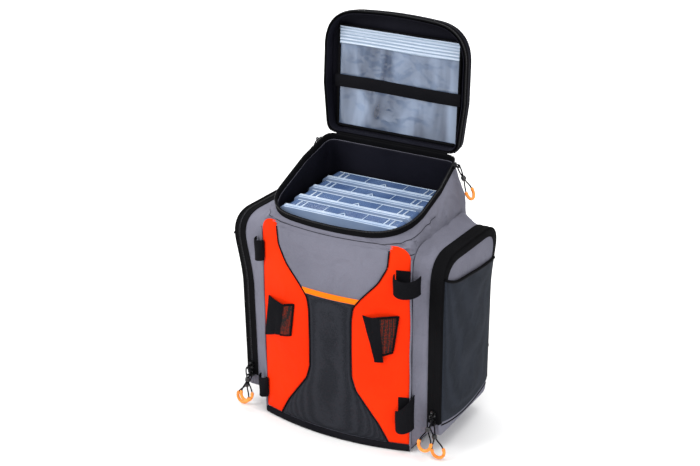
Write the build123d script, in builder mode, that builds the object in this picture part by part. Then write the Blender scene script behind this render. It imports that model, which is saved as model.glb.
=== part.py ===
"""A tackle backpack: a soft tub with a zipped lid, two zipped side pockets and four utility boxes."""
import os
from math import cos, pi, radians, sin, sqrt, tan

from build123d import *

os.makedirs("parts", exist_ok=True)

# Driving dimensions, in millimetres. X is across the pack, the front faces -Y, +Z is up.
# The origin is the middle of the tub's footprint, on the ground.
CLEAR = 0.3                 # gap between soft pieces that move past each other
FABRIC = 2.5                # stiffened fabric

TUB_HALF = 150.0            # half width of the tub at its corners
TUB_MID_HALF = 153.0        # half width of the tub half way back
TUB_MID_Y = 20.0
TUB_BACK_Y = 112.0
FRONT_EDGE_Y = -112.0       # where the bowed front meets the sides
FRONT_MID_Y = -135.0        # the front's most forward line
SHOULDER_Z = 385.0          # the tub is upright up to here, and tapers above
TUB_WALL = 4.0
TUB_FRONT_WALL = 8.0
TUB_BACK_WALL = 8.0
LINING = 1.5
BASE_SHEET = 2.5
FLOOR_Z = 60.7              # top of the padded floor that the boxes stand on

HINGE_Y = 93.0              # the lid's hinge line
HINGE_Z = 497.5
OPENING_TILT = 17.4         # the opening slopes down to the front by this many degrees
OPENING_LENGTH = 241.0      # along the slope
OPENING_BOW = 18.0          # the front edge bows forward by this much
OPENING_BACK_HALF = 132.0
OPENING_HALF = 144.0
OPENING_MID = 75.0          # from the hinge to where the opening is widest
OPENING_FRONT_R = 56.0
COLLAR = 14.0               # height of the zip tape round the opening

LID_LEAN = 3.7              # the open lid leans back from upright by this many degrees
LID_DEPTH = 32.0
LID_TAPE = 12.0
LID_WALL = 3.0
VINYL_WIDTH = 242.0
VINYL_LOW = 8.0             # from the hinge line, up the open lid
VINYL_HIGH = 194.0
VINYL_DEEP = 22.0           # behind the lid's rim
TRACK = 34.0
ELASTIC_AT = 96.0
ELASTIC_WIDTH = 23.0

POCKET_ROOT_X = 153.2       # where a side pocket's gusset is sewn to the tub
POCKET_SPLIT_X = 191.0      # the zip line between gusset and door
POCKET_FACE_X = 205.0
POCKET_FRONT_Y = -98.0
POCKET_BACK_Y = 100.0
POCKET_LOW_Z = 35.0
POCKET_TOP_Z = 384.0
POCKET_CORNER_R = 45.0
POCKET_FOOT_R = 14.0
POCKET_TAPE_X = 179.0
TAPE = 1.2
ZIP_END_Z = 55.0            # the pocket zips end this high
MESH_HALF = 93.0
MESH_LOW_Z = 58.0
MESH_FRONT_Z = 338.0
MESH_BACK_Z = 318.0
MESH_DEEP = 6.0

PANEL = 3.0                 # padded front panels
PANEL_LOW_Z = 14.0
PANEL_TOP_Z = 403.0
PANEL_HALF = 150.0
STRIPE_LOW_Z = 279.5
STRIPE_HIGH_Z = 290.5
PIPING_R = 2.0
SHEATH_LOW_Z = 180.0
SHEATH_HIGH_Z = 258.0

BOX_COUNT = 4
BOX_HALF = 117.5            # half of the box's short side, across the pack
BOX_TALL = 366.0            # the box's long side, which stands upright
BOX_THICK = 46.5
BOX_PITCH = 50.5
BOX_X = 1.5
BOX_FIRST_Y = -84.7
BOX_LID_THICK = 11.0
BOX_FLANGE = 3.0
BOX_WALL = 1.8
BOX_R = 9.0

STRAP_WIDTH = 62.0
STRAP_THICK = 11.0
STRAP_TOP = Vector(58.0, 112.1, 384.0)
STRAP_END_X = 160.0
STRAP_END_Z = 118.0
STRAP_END_OFF = 34.0        # how far the strap's lower end stands off the back
STRAP_BOW = 58.0            # and its middle
LOCK_LENGTH = 22.0
WEB_GAP = 14.0              # from the lock to the webbing's sewn turn
WEB_WIDTH = 25.0
WEB_THICK = 1.8

CORD = 2.6                  # puller cord diameter
SLIDER = (9.0, 12.0, 5.0)   # across the zip, along it, off it
TAB_THICK = 1.6
TAB_HOLE_R = 2.3
TAB_R = 4.2
GRIP = 4.6
GRIP_HALF = 12.0
BEAD_AT = 24.0              # from the tab's hole to the middle of the bead, down the puller
ARM_AT = 50.0               # from the tab's hole to the grip's arms
UPPER_SLIDER_Z = 84.0
LOWER_SLIDER_Z = 66.0
UPPER_OFF = 13.5            # from the tape to the hole in the slider's tab
LOWER_OFF = 9.0
LID_SLIDER_RUN_START = 20.0

SIDES = {"left": -1, "right": 1}

front_half = TUB_HALF
front_sag = FRONT_EDGE_Y - FRONT_MID_Y
FRONT_R = (front_half**2 + front_sag**2) / (2 * front_sag)
FRONT_CENTRE_Y = FRONT_MID_Y + FRONT_R

tilt = radians(OPENING_TILT)
lean = radians(LID_LEAN)
hinge_point = Vector(0, HINGE_Y, HINGE_Z)
opening_plane = Plane(origin=hinge_point, x_dir=(1, 0, 0), z_dir=(0, -sin(tilt), cos(tilt)))
# Seen from inside the open lid: local y runs up the lid, local z points into the pack.
lid_plane = Plane(origin=hinge_point, x_dir=(1, 0, 0), z_dir=(0, -cos(lean), sin(lean)))


def save(piece, name):
    """Label a finished piece and write it."""
    piece.part.label = name
    export_step(piece.part, f"parts/{name}.step")


def front_y(x, proud=0.0):
    """The bowed front's Y at a distance x from the middle."""
    return FRONT_CENTRE_Y - sqrt((FRONT_R + proud) ** 2 - x**2)


def tub_outline(inset=0.0, front_inset=0.0, back_inset=0.0):
    """Plan of the tub: square back corners, slightly full sides and a bowed front."""
    half = TUB_HALF - inset
    edge_y = front_y(half, -front_inset)
    with BuildSketch() as outline:
        with BuildLine():
            ThreePointArc((-half, edge_y), (0, front_y(0, -front_inset)), (half, edge_y))
            Polyline(
                (half, edge_y),
                (TUB_MID_HALF - inset, TUB_MID_Y),
                (half, TUB_BACK_Y - back_inset),
                (-half, TUB_BACK_Y - back_inset),
                (-TUB_MID_HALF + inset, TUB_MID_Y),
                (-half, edge_y),
            )
        make_face()
        fillet(outline.vertices().sort_by(Axis.Y)[0:2], 10.0)
        fillet(outline.vertices().sort_by(Axis.Y)[-2:], 12.0)
    return outline.sketch


def opening_outline(inset=0.0, sign=-1, hinge_gap=0.0):
    """The opening, or the lid that covers it, with its hinge edge on local y = 0."""
    back = OPENING_BACK_HALF - inset
    half = OPENING_HALF - inset
    near = sign * (inset + hinge_gap)
    far = sign * (OPENING_LENGTH - inset)
    far_side = sign * (OPENING_LENGTH - OPENING_BOW - inset)
    with BuildSketch() as outline:
        with BuildLine():
            Polyline((-half, far_side), (-half, sign * OPENING_MID), (-back, near), (back, near))
            Polyline((back, near), (half, sign * OPENING_MID), (half, far_side))
            ThreePointArc((half, far_side), (0, far), (-half, far_side))
        make_face()
        by_reach = outline.vertices().sort_by(lambda v: sign * v.Y)
        fillet(by_reach[-2:], OPENING_FRONT_R - inset)
        fillet(by_reach[0:2], 14.0 - inset)
    return outline.sketch


def curved_band(low, high):
    """A strip in plan that follows the bowed front, from low to high millimetres in front of it."""
    with BuildSketch() as band:
        with Locations((0, FRONT_CENTRE_Y)):
            Circle(FRONT_R + high)
            Circle(FRONT_R + low, mode=Mode.SUBTRACT)
        with Locations((0, FRONT_MID_Y)):
            Rectangle(2 * PANEL_HALF, 80.0, mode=Mode.INTERSECT)
    return band.sketch


def middle_field(gap=0.0):
    """The field between the two coloured panels, waisted and flared again at the foot, in X and Z."""
    upper = [(114.0, PANEL_TOP_Z + 1), (111.0, 362.0), (93.0, 328.0), (63.0, 295.0)]
    upper += [(47.0, 274.0), (43.0, 248.0)]
    lower = [(43.0, 135.0), (51.0, 109.0), (69.0, 84.0), (94.0, 49.0)]
    lower += [(107.0, 25.0), (112.0, PANEL_LOW_Z - 1)]
    with BuildSketch() as field:
        with BuildLine():
            for side in SIDES.values():
                high_edge = [(side * (x + gap), z) for x, z in upper]
                low_edge = [(side * (x + gap), z) for x, z in lower]
                Spline(high_edge)
                Line(high_edge[-1], low_edge[0])
                Spline(low_edge)
            for x, z in (upper[0], lower[-1]):
                Line((-x - gap, z), (x + gap, z))
        make_face()
    return field.sketch


def pocket_outline(grow=0.0):
    """A side pocket in Y and Z: large corners at the top, small ones at the foot."""
    with BuildSketch() as outline:
        with Locations(((POCKET_FRONT_Y + POCKET_BACK_Y) / 2, (POCKET_LOW_Z + POCKET_TOP_Z) / 2)):
            Rectangle(POCKET_BACK_Y - POCKET_FRONT_Y + 2 * grow, POCKET_TOP_Z - POCKET_LOW_Z + 2 * grow)
        fillet(outline.vertices().sort_by(Axis.Y)[-2:], POCKET_CORNER_R + grow)
        fillet(outline.vertices().sort_by(Axis.Y)[0:2], POCKET_FOOT_R + grow)
    return outline.sketch


def pocket_root_outline(grow=0.0):
    """The wider foot of the pocket's gusset, where it is sewn to the tub, in Y and Z."""
    with BuildSketch() as outline:
        with Locations((-1.0, 203.0)):
            Rectangle(218.0 + 2 * grow, 390.0 + 2 * grow)
        fillet(outline.vertices().sort_by(Axis.Y)[-2:], 40.0 + grow)
        fillet(outline.vertices().sort_by(Axis.Y)[0:2], POCKET_FOOT_R + grow)
    return outline.sketch


# --- The tub -----------------------------------------------------------------------------------

with BuildPart() as base_panel:
    with BuildSketch():
        add(tub_outline())
    extrude(amount=BASE_SHEET)
    with BuildSketch():
        add(curved_band(0.0, PANEL))
    extrude(amount=PANEL_LOW_Z - CLEAR)
save(base_panel, "base_panel")

with BuildPart() as main_shell:
    with BuildSketch(Plane.XY.offset(BASE_SHEET)):
        add(tub_outline())
    extrude(amount=SHOULDER_Z - BASE_SHEET)
    with BuildSketch(Plane.XY.offset(SHOULDER_Z)):
        add(tub_outline())
    with BuildSketch(opening_plane.offset(-COLLAR)):
        add(opening_outline())
    loft()
    with BuildSketch(Plane.XY.offset(BASE_SHEET + TUB_WALL)):
        add(tub_outline(TUB_WALL, TUB_FRONT_WALL, TUB_BACK_WALL))
    extrude(amount=SHOULDER_Z - BASE_SHEET - TUB_WALL, mode=Mode.SUBTRACT)
    with BuildSketch(Plane.XY.offset(SHOULDER_Z)):
        add(tub_outline(TUB_WALL, TUB_FRONT_WALL, TUB_BACK_WALL))
    with BuildSketch(opening_plane.offset(-COLLAR)):
        add(opening_outline(TUB_WALL))
    loft(mode=Mode.SUBTRACT)
save(main_shell, "main_shell")

with BuildPart() as padded_floor:
    with BuildSketch(Plane.XY.offset(BASE_SHEET + TUB_WALL)):
        add(tub_outline(TUB_WALL + CLEAR, TUB_FRONT_WALL + CLEAR, TUB_BACK_WALL + CLEAR))
    extrude(amount=FLOOR_Z - LINING - CLEAR - BASE_SHEET - TUB_WALL)
save(padded_floor, "padded_floor")

lining_out = (TUB_WALL + CLEAR, TUB_FRONT_WALL + CLEAR, TUB_BACK_WALL + CLEAR)
lining_in = (lining_out[0] + LINING, lining_out[1] + LINING, lining_out[2] + LINING)
with BuildPart() as main_lining:
    with BuildSketch(Plane.XY.offset(FLOOR_Z - LINING)):
        add(tub_outline(*lining_out))
    extrude(amount=SHOULDER_Z - FLOOR_Z + LINING)
    with BuildSketch(Plane.XY.offset(SHOULDER_Z)):
        add(tub_outline(*lining_out))
    with BuildSketch(opening_plane.offset(-COLLAR)):
        add(opening_outline(lining_out[0] + CLEAR))
    loft()
    with BuildSketch(Plane.XY.offset(FLOOR_Z)):
        add(tub_outline(*lining_in))
    extrude(amount=SHOULDER_Z - FLOOR_Z, mode=Mode.SUBTRACT)
    with BuildSketch(Plane.XY.offset(SHOULDER_Z)):
        add(tub_outline(*lining_in))
    with BuildSketch(opening_plane.offset(-COLLAR)):
        add(opening_outline(lining_in[0] + CLEAR))
    loft(mode=Mode.SUBTRACT)
save(main_lining, "main_lining")

with BuildPart() as opening_zip_tape:
    with BuildSketch(opening_plane.offset(-COLLAR)):
        add(opening_outline())
        add(opening_outline(FABRIC), mode=Mode.SUBTRACT)
    extrude(amount=COLLAR)
save(opening_zip_tape, "opening_zip_tape")

# --- The front: two coloured panels round a waisted middle field --------------------------------

for name, side in SIDES.items():
    with BuildPart() as front_panel:
        with BuildSketch(Plane.XY.offset(PANEL_LOW_Z)):
            add(curved_band(CLEAR / 3, PANEL))
        extrude(amount=PANEL_TOP_Z - PANEL_LOW_Z)
        with BuildSketch(Plane.XZ):
            with Locations((side * PANEL_HALF / 2, PANEL_TOP_Z / 2)):
                Rectangle(PANEL_HALF, PANEL_TOP_Z)
            outer_top = vertices().sort_by(lambda v: side * v.X + v.Z)[-1]
            fillet(outer_top, 26.0)
        extrude(amount=200.0, mode=Mode.INTERSECT)
        with BuildSketch(Plane.XZ):
            add(middle_field(CLEAR / 2))
        extrude(amount=200.0, mode=Mode.SUBTRACT)
    save(front_panel, f"front_panel_{name}")

middle_pieces = {
    "centre_panel": (PANEL_LOW_Z, STRIPE_LOW_Z - CLEAR / 3),
    "accent_stripe": (STRIPE_LOW_Z, STRIPE_HIGH_Z),
    "yoke_panel": (STRIPE_HIGH_Z + CLEAR / 3, PANEL_TOP_Z),
}
for name, (low, high) in middle_pieces.items():
    with BuildPart() as middle_piece:
        with BuildSketch(Plane.XY.offset(low)):
            add(curved_band(CLEAR / 3, PANEL))
        extrude(amount=high - low)
        with BuildSketch(Plane.XZ):
            add(middle_field())
        extrude(amount=200.0, mode=Mode.INTERSECT)
    save(middle_piece, name)

with BuildPart() as side_piping:
    with BuildSketch(Plane.XY.offset(BASE_SHEET)):
        with Locations(*[(side * (PANEL_HALF + PIPING_R), FRONT_EDGE_Y) for side in SIDES.values()]):
            Circle(PIPING_R)
    extrude(amount=380.0)
save(side_piping, "side_piping")

# --- Loops and sheaths on the front --------------------------------------------------------------

with BuildPart() as rod_loops:
    for low, high in ((38.0, 84.0), (318.0, 354.0)):
        for side in SIDES.values():
            with BuildSketch(Plane.XY.offset(low)):
                with BuildLine():
                    ThreePointArc((side * 125.0, -122.4), (side * 153.0, -137.5), (side * 167.0, -105.4))
                    Line((side * 167.0, -105.4), (side * 165.0, -106.3))
                    ThreePointArc((side * 165.0, -106.3), (side * 152.4, -135.6), (side * 127.0, -122.0))
                    Line((side * 127.0, -122.0), (side * 125.0, -122.4))
                make_face()
            extrude(amount=high - low)
save(rod_loops, "rod_loops")

for name, side in SIDES.items():
    with BuildPart() as tool_sheath:
        with BuildSketch(Plane.XY.offset(SHEATH_LOW_Z)):
            with BuildLine():
                Polyline(
                    (side * 66.0, -134.3),
                    (side * 69.0, -143.0),
                    (side * 120.0, -136.8),
                    (side * 126.0, -122.2),
                    (side * 124.4, -122.6),
                    (side * 118.8, -135.2),
                    (side * 70.4, -141.2),
                    (side * 68.0, -134.0),
                    close=True,
                )
            make_face()
        extrude(amount=SHEATH_HIGH_Z - SHEATH_LOW_Z)
    save(tool_sheath, f"tool_sheath_{name}")

# --- The back: pad, straps, webbing and handle ---------------------------------------------------

with BuildPart() as back_pad:
    with BuildSketch(Plane.XZ.offset(-TUB_BACK_Y - CLEAR / 3)):
        with Locations((0, 192.0)):
            RectangleRounded(232.0, 296.0, 30.0)
    extrude(amount=-12.0)
    fillet(back_pad.faces().sort_by(Axis.Y)[-1].edges(), 4.0)
save(back_pad, "back_pad")

with BuildPart() as grab_handle:
    with BuildSketch(Plane.XY.offset(428.0)):
        with BuildLine():
            ThreePointArc((-54.0, 107.0), (0, 141.0), (54.0, 107.0))
            Line((54.0, 107.0), (49.0, 107.0))
            ThreePointArc((49.0, 107.0), (0, 137.0), (-49.0, 107.0))
            Line((-49.0, 107.0), (-54.0, 107.0))
        make_face()
    extrude(amount=WEB_WIDTH)
save(grab_handle, "grab_handle")

strap_run = Vector(STRAP_END_X - STRAP_TOP.X, 0, STRAP_END_Z - STRAP_TOP.Z)
strap_along = strap_run.normalized()
strap_across = strap_along.cross(Vector(0, 1, 0))
strap_plane = Plane(origin=STRAP_TOP, x_dir=strap_along, z_dir=strap_across)
strap_length = strap_run.length

with BuildPart() as shoulder_strap_right:
    with BuildSketch(strap_plane):
        with BuildLine():
            end_high = STRAP_END_OFF + STRAP_THICK / 2
            end_low = STRAP_END_OFF - STRAP_THICK / 2
            ThreePointArc((0, STRAP_THICK), (strap_length / 2, STRAP_BOW), (strap_length, end_high))
            Line((strap_length, end_high), (strap_length, end_low))
            ThreePointArc((strap_length, end_low), (strap_length / 2, STRAP_BOW - STRAP_THICK), (0, 0))
            Line((0, 0), (0, STRAP_THICK))
        make_face()
    extrude(amount=STRAP_WIDTH / 2, both=True)

with BuildPart() as ladder_lock_right:
    with BuildSketch(strap_plane.offset(-17.0)):
        with Locations((strap_length + CLEAR + LOCK_LENGTH / 2, STRAP_END_OFF)):
            Rectangle(LOCK_LENGTH, 5.0)
    extrude(amount=34.0)
    slot_plane = Plane(
        origin=strap_plane.from_local_coords((strap_length + LOCK_LENGTH / 2, STRAP_END_OFF, 0)),
        x_dir=strap_along,
        z_dir=(0, 1, 0),
    )
    with BuildSketch(slot_plane):
        with GridLocations(8.0, 1, 2, 1):
            Rectangle(4.5, 26.0)
    extrude(amount=10.0, both=True, mode=Mode.SUBTRACT)

web_start = strap_plane.from_local_coords((strap_length + LOCK_LENGTH + WEB_GAP, STRAP_END_OFF, 0))
web_run = Vector(138.0, 116.0, 34.0) - web_start
with BuildPart() as lower_webbing_right:
    with BuildSketch(Plane(origin=web_start, x_dir=(web_run.Z, 0, -web_run.X), z_dir=web_run)):
        Rectangle(WEB_WIDTH, WEB_THICK)
    extrude(amount=web_run.length)

save(shoulder_strap_right, "shoulder_strap_right")
with BuildPart() as shoulder_strap_left:
    mirror(shoulder_strap_right.part, about=Plane.YZ)
save(shoulder_strap_left, "shoulder_strap_left")

for right, name in ((ladder_lock_right, "ladder_locks"), (lower_webbing_right, "lower_webbing")):
    with BuildPart() as pair:
        add(right.part)
        mirror(right.part, about=Plane.YZ)
    save(pair, name)

# --- Side pockets ---------------------------------------------------------------------------------

with BuildPart() as pocket_gusset_right:
    with BuildSketch(Plane.YZ.offset(POCKET_ROOT_X)):
        add(pocket_root_outline())
    with BuildSketch(Plane.YZ.offset(POCKET_TAPE_X)):
        add(pocket_outline())
    loft()
    with BuildSketch(Plane.YZ.offset(POCKET_TAPE_X)):
        add(pocket_outline())
    extrude(amount=POCKET_SPLIT_X - POCKET_TAPE_X - CLEAR)
    with BuildSketch(Plane.YZ.offset(POCKET_ROOT_X)):
        add(pocket_root_outline(-FABRIC))
    with BuildSketch(Plane.YZ.offset(POCKET_TAPE_X)):
        add(pocket_outline(-FABRIC))
    loft(mode=Mode.SUBTRACT)
    with BuildSketch(Plane.YZ.offset(POCKET_TAPE_X)):
        add(pocket_outline(-FABRIC))
    extrude(amount=POCKET_SPLIT_X - POCKET_TAPE_X, mode=Mode.SUBTRACT)

with BuildPart() as pocket_door_right:
    with BuildSketch(Plane.YZ.offset(POCKET_SPLIT_X + CLEAR)):
        add(pocket_outline())
    extrude(amount=POCKET_FACE_X - POCKET_SPLIT_X - CLEAR)
    fillet(pocket_door_right.faces().sort_by(Axis.X)[-1].edges(), 6.0)
    with BuildSketch(Plane.YZ.offset(POCKET_SPLIT_X)):
        add(pocket_outline(-FABRIC))
    extrude(amount=POCKET_FACE_X - POCKET_SPLIT_X - FABRIC, mode=Mode.SUBTRACT)


def zip_ring(low_x, high_x):
    """The zip tape round the front, top and back of a pocket, between two X stations."""
    with BuildPart() as ring:
        with BuildSketch(Plane.YZ.offset(low_x)):
            add(pocket_outline(TAPE))
            add(pocket_outline(CLEAR / 10), mode=Mode.SUBTRACT)
        extrude(amount=high_x - low_x)
        with Locations((low_x, 0, 0)):
            Box(80.0, 400.0, 2 * ZIP_END_Z, mode=Mode.SUBTRACT)
    return ring.part


with BuildPart() as pocket_zip_tapes:
    add(zip_ring(POCKET_TAPE_X, POCKET_SPLIT_X - CLEAR))
    mirror(zip_ring(POCKET_TAPE_X, POCKET_SPLIT_X - CLEAR), about=Plane.YZ)
save(pocket_zip_tapes, "pocket_zip_tapes")

with BuildPart() as door_zip_tape_right:
    add(zip_ring(POCKET_SPLIT_X + CLEAR, POCKET_FACE_X - 6.0))

mesh_mid_y = (POCKET_FRONT_Y + POCKET_BACK_Y) / 2
with BuildPart() as mesh_pocket_right:
    with BuildSketch(Plane.YZ.offset(POCKET_FACE_X + CLEAR / 3)):
        with BuildLine():
            Polyline(
                (mesh_mid_y - MESH_HALF, MESH_LOW_Z),
                (mesh_mid_y + MESH_HALF, MESH_LOW_Z),
                (mesh_mid_y + MESH_HALF, MESH_BACK_Z),
                (mesh_mid_y - MESH_HALF, MESH_FRONT_Z),
                close=True,
            )
        make_face()
    extrude(amount=MESH_DEEP)
    with BuildSketch(Plane.YZ.offset(POCKET_FACE_X + CLEAR / 3)):
        with BuildLine():
            Polyline(
                (mesh_mid_y - MESH_HALF + 2, MESH_LOW_Z + 2),
                (mesh_mid_y + MESH_HALF - 2, MESH_LOW_Z + 2),
                (mesh_mid_y + MESH_HALF - 2, MESH_BACK_Z + 20),
                (mesh_mid_y - MESH_HALF + 2, MESH_FRONT_Z + 20),
                close=True,
            )
        make_face()
    extrude(amount=MESH_DEEP - 1.0, mode=Mode.SUBTRACT)

for right, name in (
    (pocket_gusset_right, "pocket_gusset"),
    (pocket_door_right, "pocket_door"),
    (door_zip_tape_right, "door_zip_tape"),
    (mesh_pocket_right, "mesh_pocket"),
):
    save(right, f"{name}_right")
    with BuildPart() as left:
        mirror(right.part, about=Plane.YZ)
    save(left, f"{name}_left")

# --- The lid, open --------------------------------------------------------------------------------

with BuildPart() as lid_zip_tape:
    with BuildSketch(lid_plane.offset(-CLEAR)):
        add(opening_outline(sign=1, hinge_gap=1.5))
        add(opening_outline(FABRIC, sign=1, hinge_gap=1.5), mode=Mode.SUBTRACT)
    extrude(amount=CLEAR - LID_TAPE)
save(lid_zip_tape, "lid_zip_tape")

with BuildPart() as lid_shell:
    with BuildSketch(lid_plane.offset(-LID_TAPE)):
        add(opening_outline(sign=1, hinge_gap=1.5))
    extrude(amount=LID_TAPE - LID_DEPTH)
    fillet(lid_shell.faces().sort_by(Axis.Y)[-1].edges(), 8.0)
    with BuildSketch(lid_plane.offset(-LID_TAPE)):
        add(opening_outline(LID_WALL, sign=1, hinge_gap=1.5))
    extrude(amount=LID_TAPE + LID_WALL - LID_DEPTH, mode=Mode.SUBTRACT)
save(lid_shell, "lid_shell")

with BuildPart() as lid_lining:
    with BuildSketch(lid_plane.offset(-2 * CLEAR)):
        add(opening_outline(LID_WALL + CLEAR, sign=1, hinge_gap=1.5))
    extrude(amount=LID_WALL + CLEAR + 2 * CLEAR - LID_DEPTH)
    with BuildSketch(lid_plane.offset(-2 * CLEAR)):
        add(opening_outline(LID_WALL + CLEAR + LINING, sign=1, hinge_gap=1.5))
    extrude(amount=LID_WALL + CLEAR + LINING + 2 * CLEAR - LID_DEPTH, mode=Mode.SUBTRACT)
save(lid_lining, "lid_lining")

with BuildPart() as vinyl_pocket:
    with BuildSketch(lid_plane.offset(-VINYL_DEEP)):
        with Locations((0, (VINYL_LOW + VINYL_HIGH) / 2)):
            Rectangle(VINYL_WIDTH, VINYL_HIGH - VINYL_LOW)
    extrude(amount=-3.0)
    with BuildSketch(lid_plane.offset(-VINYL_DEEP + 0.1)):
        with Locations((0, VINYL_HIGH - TRACK / 2)):
            Rectangle(VINYL_WIDTH, TRACK)
    extrude(amount=1.6)
save(vinyl_pocket, "vinyl_pocket")

with BuildPart() as elastic_band:
    with BuildSketch(lid_plane.offset(-VINYL_DEEP + 2.5)):
        with Locations((0, ELASTIC_AT)):
            Rectangle(VINYL_WIDTH + 8.0, ELASTIC_WIDTH)
    extrude(amount=1.5)
save(elastic_band, "elastic_band")

# --- Utility boxes, standing on their short ends ---------------------------------------------------

box_mid_z = FLOOR_Z + CLEAR / 3 + BOX_TALL / 2
for index in range(BOX_COUNT):
    front_face = BOX_FIRST_Y + index * BOX_PITCH - BOX_THICK / 2
    seam_point = (BOX_X, front_face + BOX_LID_THICK, box_mid_z)
    seam_plane = Plane(origin=seam_point, x_dir=(1, 0, 0), z_dir=(0, 1, 0))
    tray_deep = BOX_THICK - BOX_LID_THICK
    body_x = 2 * (BOX_HALF - BOX_FLANGE)
    body_z = BOX_TALL - 2 * BOX_FLANGE
    with BuildPart() as box_tray:
        with BuildSketch(seam_plane):
            RectangleRounded(2 * BOX_HALF, BOX_TALL, BOX_R)
        extrude(amount=2.0)
        with BuildSketch(seam_plane):
            RectangleRounded(body_x, body_z, BOX_R)
        extrude(amount=tray_deep)
        with BuildSketch(seam_plane):
            RectangleRounded(body_x - 2 * BOX_WALL, body_z - 2 * BOX_WALL, BOX_R - BOX_WALL)
        extrude(amount=tray_deep - BOX_WALL, mode=Mode.SUBTRACT)
        with BuildSketch(seam_plane.offset(3.0)):
            with GridLocations(body_x / 3, 1, 2, 1):
                Rectangle(1.5, body_z - BOX_WALL)
            with GridLocations(1, body_z / 6, 1, 5):
                Rectangle(body_x - BOX_WALL, 1.5)
        extrude(amount=tray_deep - 3.0 - BOX_WALL / 2)
    save(box_tray, f"box_tray_{index + 1}")
    with BuildPart() as box_lid:
        with BuildSketch(seam_plane.offset(-CLEAR / 3)):
            RectangleRounded(2 * BOX_HALF, BOX_TALL, BOX_R)
        extrude(amount=CLEAR / 3 - BOX_LID_THICK)
        with BuildSketch(seam_plane.offset(-CLEAR / 3)):
            RectangleRounded(body_x - 2 * BOX_WALL, body_z - 2 * BOX_WALL, BOX_R - BOX_WALL)
        extrude(amount=CLEAR / 3 + BOX_WALL - BOX_LID_THICK, mode=Mode.SUBTRACT)
    save(box_lid, f"box_lid_{index + 1}")

# --- Zip sliders and their cord pullers -------------------------------------------------------------


def slider_piece(contact, outward, hinge_axis, along_is_hinge, off):
    """A slider body on the tape, with a holed tab that stands off it."""
    plane = Plane(origin=contact, x_dir=hinge_axis, z_dir=outward)
    across, along, height = SLIDER
    size_x = along if along_is_hinge else across
    size_y = across if along_is_hinge else along
    tab_face = plane.from_local_coords((-TAB_THICK / 2, 0, 0))
    tab_plane = Plane(origin=tab_face, x_dir=outward, z_dir=hinge_axis)
    with BuildPart() as slider:
        with BuildSketch(plane):
            RectangleRounded(size_x, size_y, 2.0)
        extrude(amount=height)
        with BuildSketch(tab_plane):
            with Locations((off / 2, 0)):
                Rectangle(off, 2 * TAB_R - 1.6)
            with Locations((off, 0)):
                Circle(TAB_R)
                Circle(TAB_HOLE_R, mode=Mode.SUBTRACT)
        extrude(amount=TAB_THICK)
    return slider


def puller_route():
    """The cord loop, from one arm of the grip through the bead and the tab, and back to the other arm."""
    half = [
        (-GRIP_HALF, ARM_AT),
        (-10.5, 42.0),
        (-1.6, BEAD_AT + 5.0),
        (-1.6, BEAD_AT - 5.0),
        (-4.7, 9.0),
        (-4.2, 0.0),
    ]
    return half + [(-a, b) for a, b in reversed(half)]


def corner_radii(points):
    """The largest arc that each corner's two runs allow."""
    radii = []
    for before, corner, after in zip(points, points[1:], points[2:]):
        run_in = Vector(*corner) - Vector(*before)
        run_out = Vector(*after) - Vector(*corner)
        shorter = min(run_in.length, run_out.length)
        radii.append(0.45 * shorter / tan(radians(run_in.get_angle(run_out)) / 2))
    return radii


def puller_pieces(plane):
    """The cord loop, the bead round its two legs, and the moulded grip on its ends."""
    route = puller_route()
    radii = corner_radii(route)
    with BuildPart() as cord:
        with BuildLine(plane) as path:
            FilletPolyline(*route, radius=radii)
        start = path.line @ 0
        with BuildSketch(Plane(origin=start, z_dir=path.line % 0)):
            Circle(CORD / 2)
        sweep(path=path.line)
    bead_point = plane.from_local_coords((0, BEAD_AT - 4.0, 0))
    bead_plane = Plane(origin=bead_point, x_dir=plane.x_dir, z_dir=plane.y_dir)
    arm_point = plane.from_local_coords((-GRIP_HALF, ARM_AT + CLEAR, 0))
    arm_plane = Plane(origin=arm_point, x_dir=plane.x_dir, z_dir=plane.y_dir)
    with BuildPart() as grip:
        with BuildSketch(bead_plane):
            Circle(4.6)
            SlotOverall(6.6, 3.0, mode=Mode.SUBTRACT)
        extrude(amount=8.0)
        with BuildLine(plane) as bow:
            Line((-GRIP_HALF, ARM_AT + CLEAR), (-GRIP_HALF, ARM_AT + 2.0))
            ThreePointArc(
                (-GRIP_HALF, ARM_AT + 2.0), (0, ARM_AT + 2.0 + GRIP_HALF), (GRIP_HALF, ARM_AT + 2.0)
            )
            Line((GRIP_HALF, ARM_AT + 2.0), (GRIP_HALF, ARM_AT + CLEAR))
        with BuildSketch(arm_plane):
            Circle(GRIP / 2)
        sweep(path=bow.line)
    return cord, grip, path.wire().length, radii


def aimed_plane(hinge, axis, down):
    """A plane on the hinge with local x near the axis and local y down the puller."""
    along = Vector(*down).normalized()
    across = (Vector(*axis) - along * Vector(*axis).dot(along)).normalized()
    return Plane(origin=hinge, x_dir=across, z_dir=across.cross(along))


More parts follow.
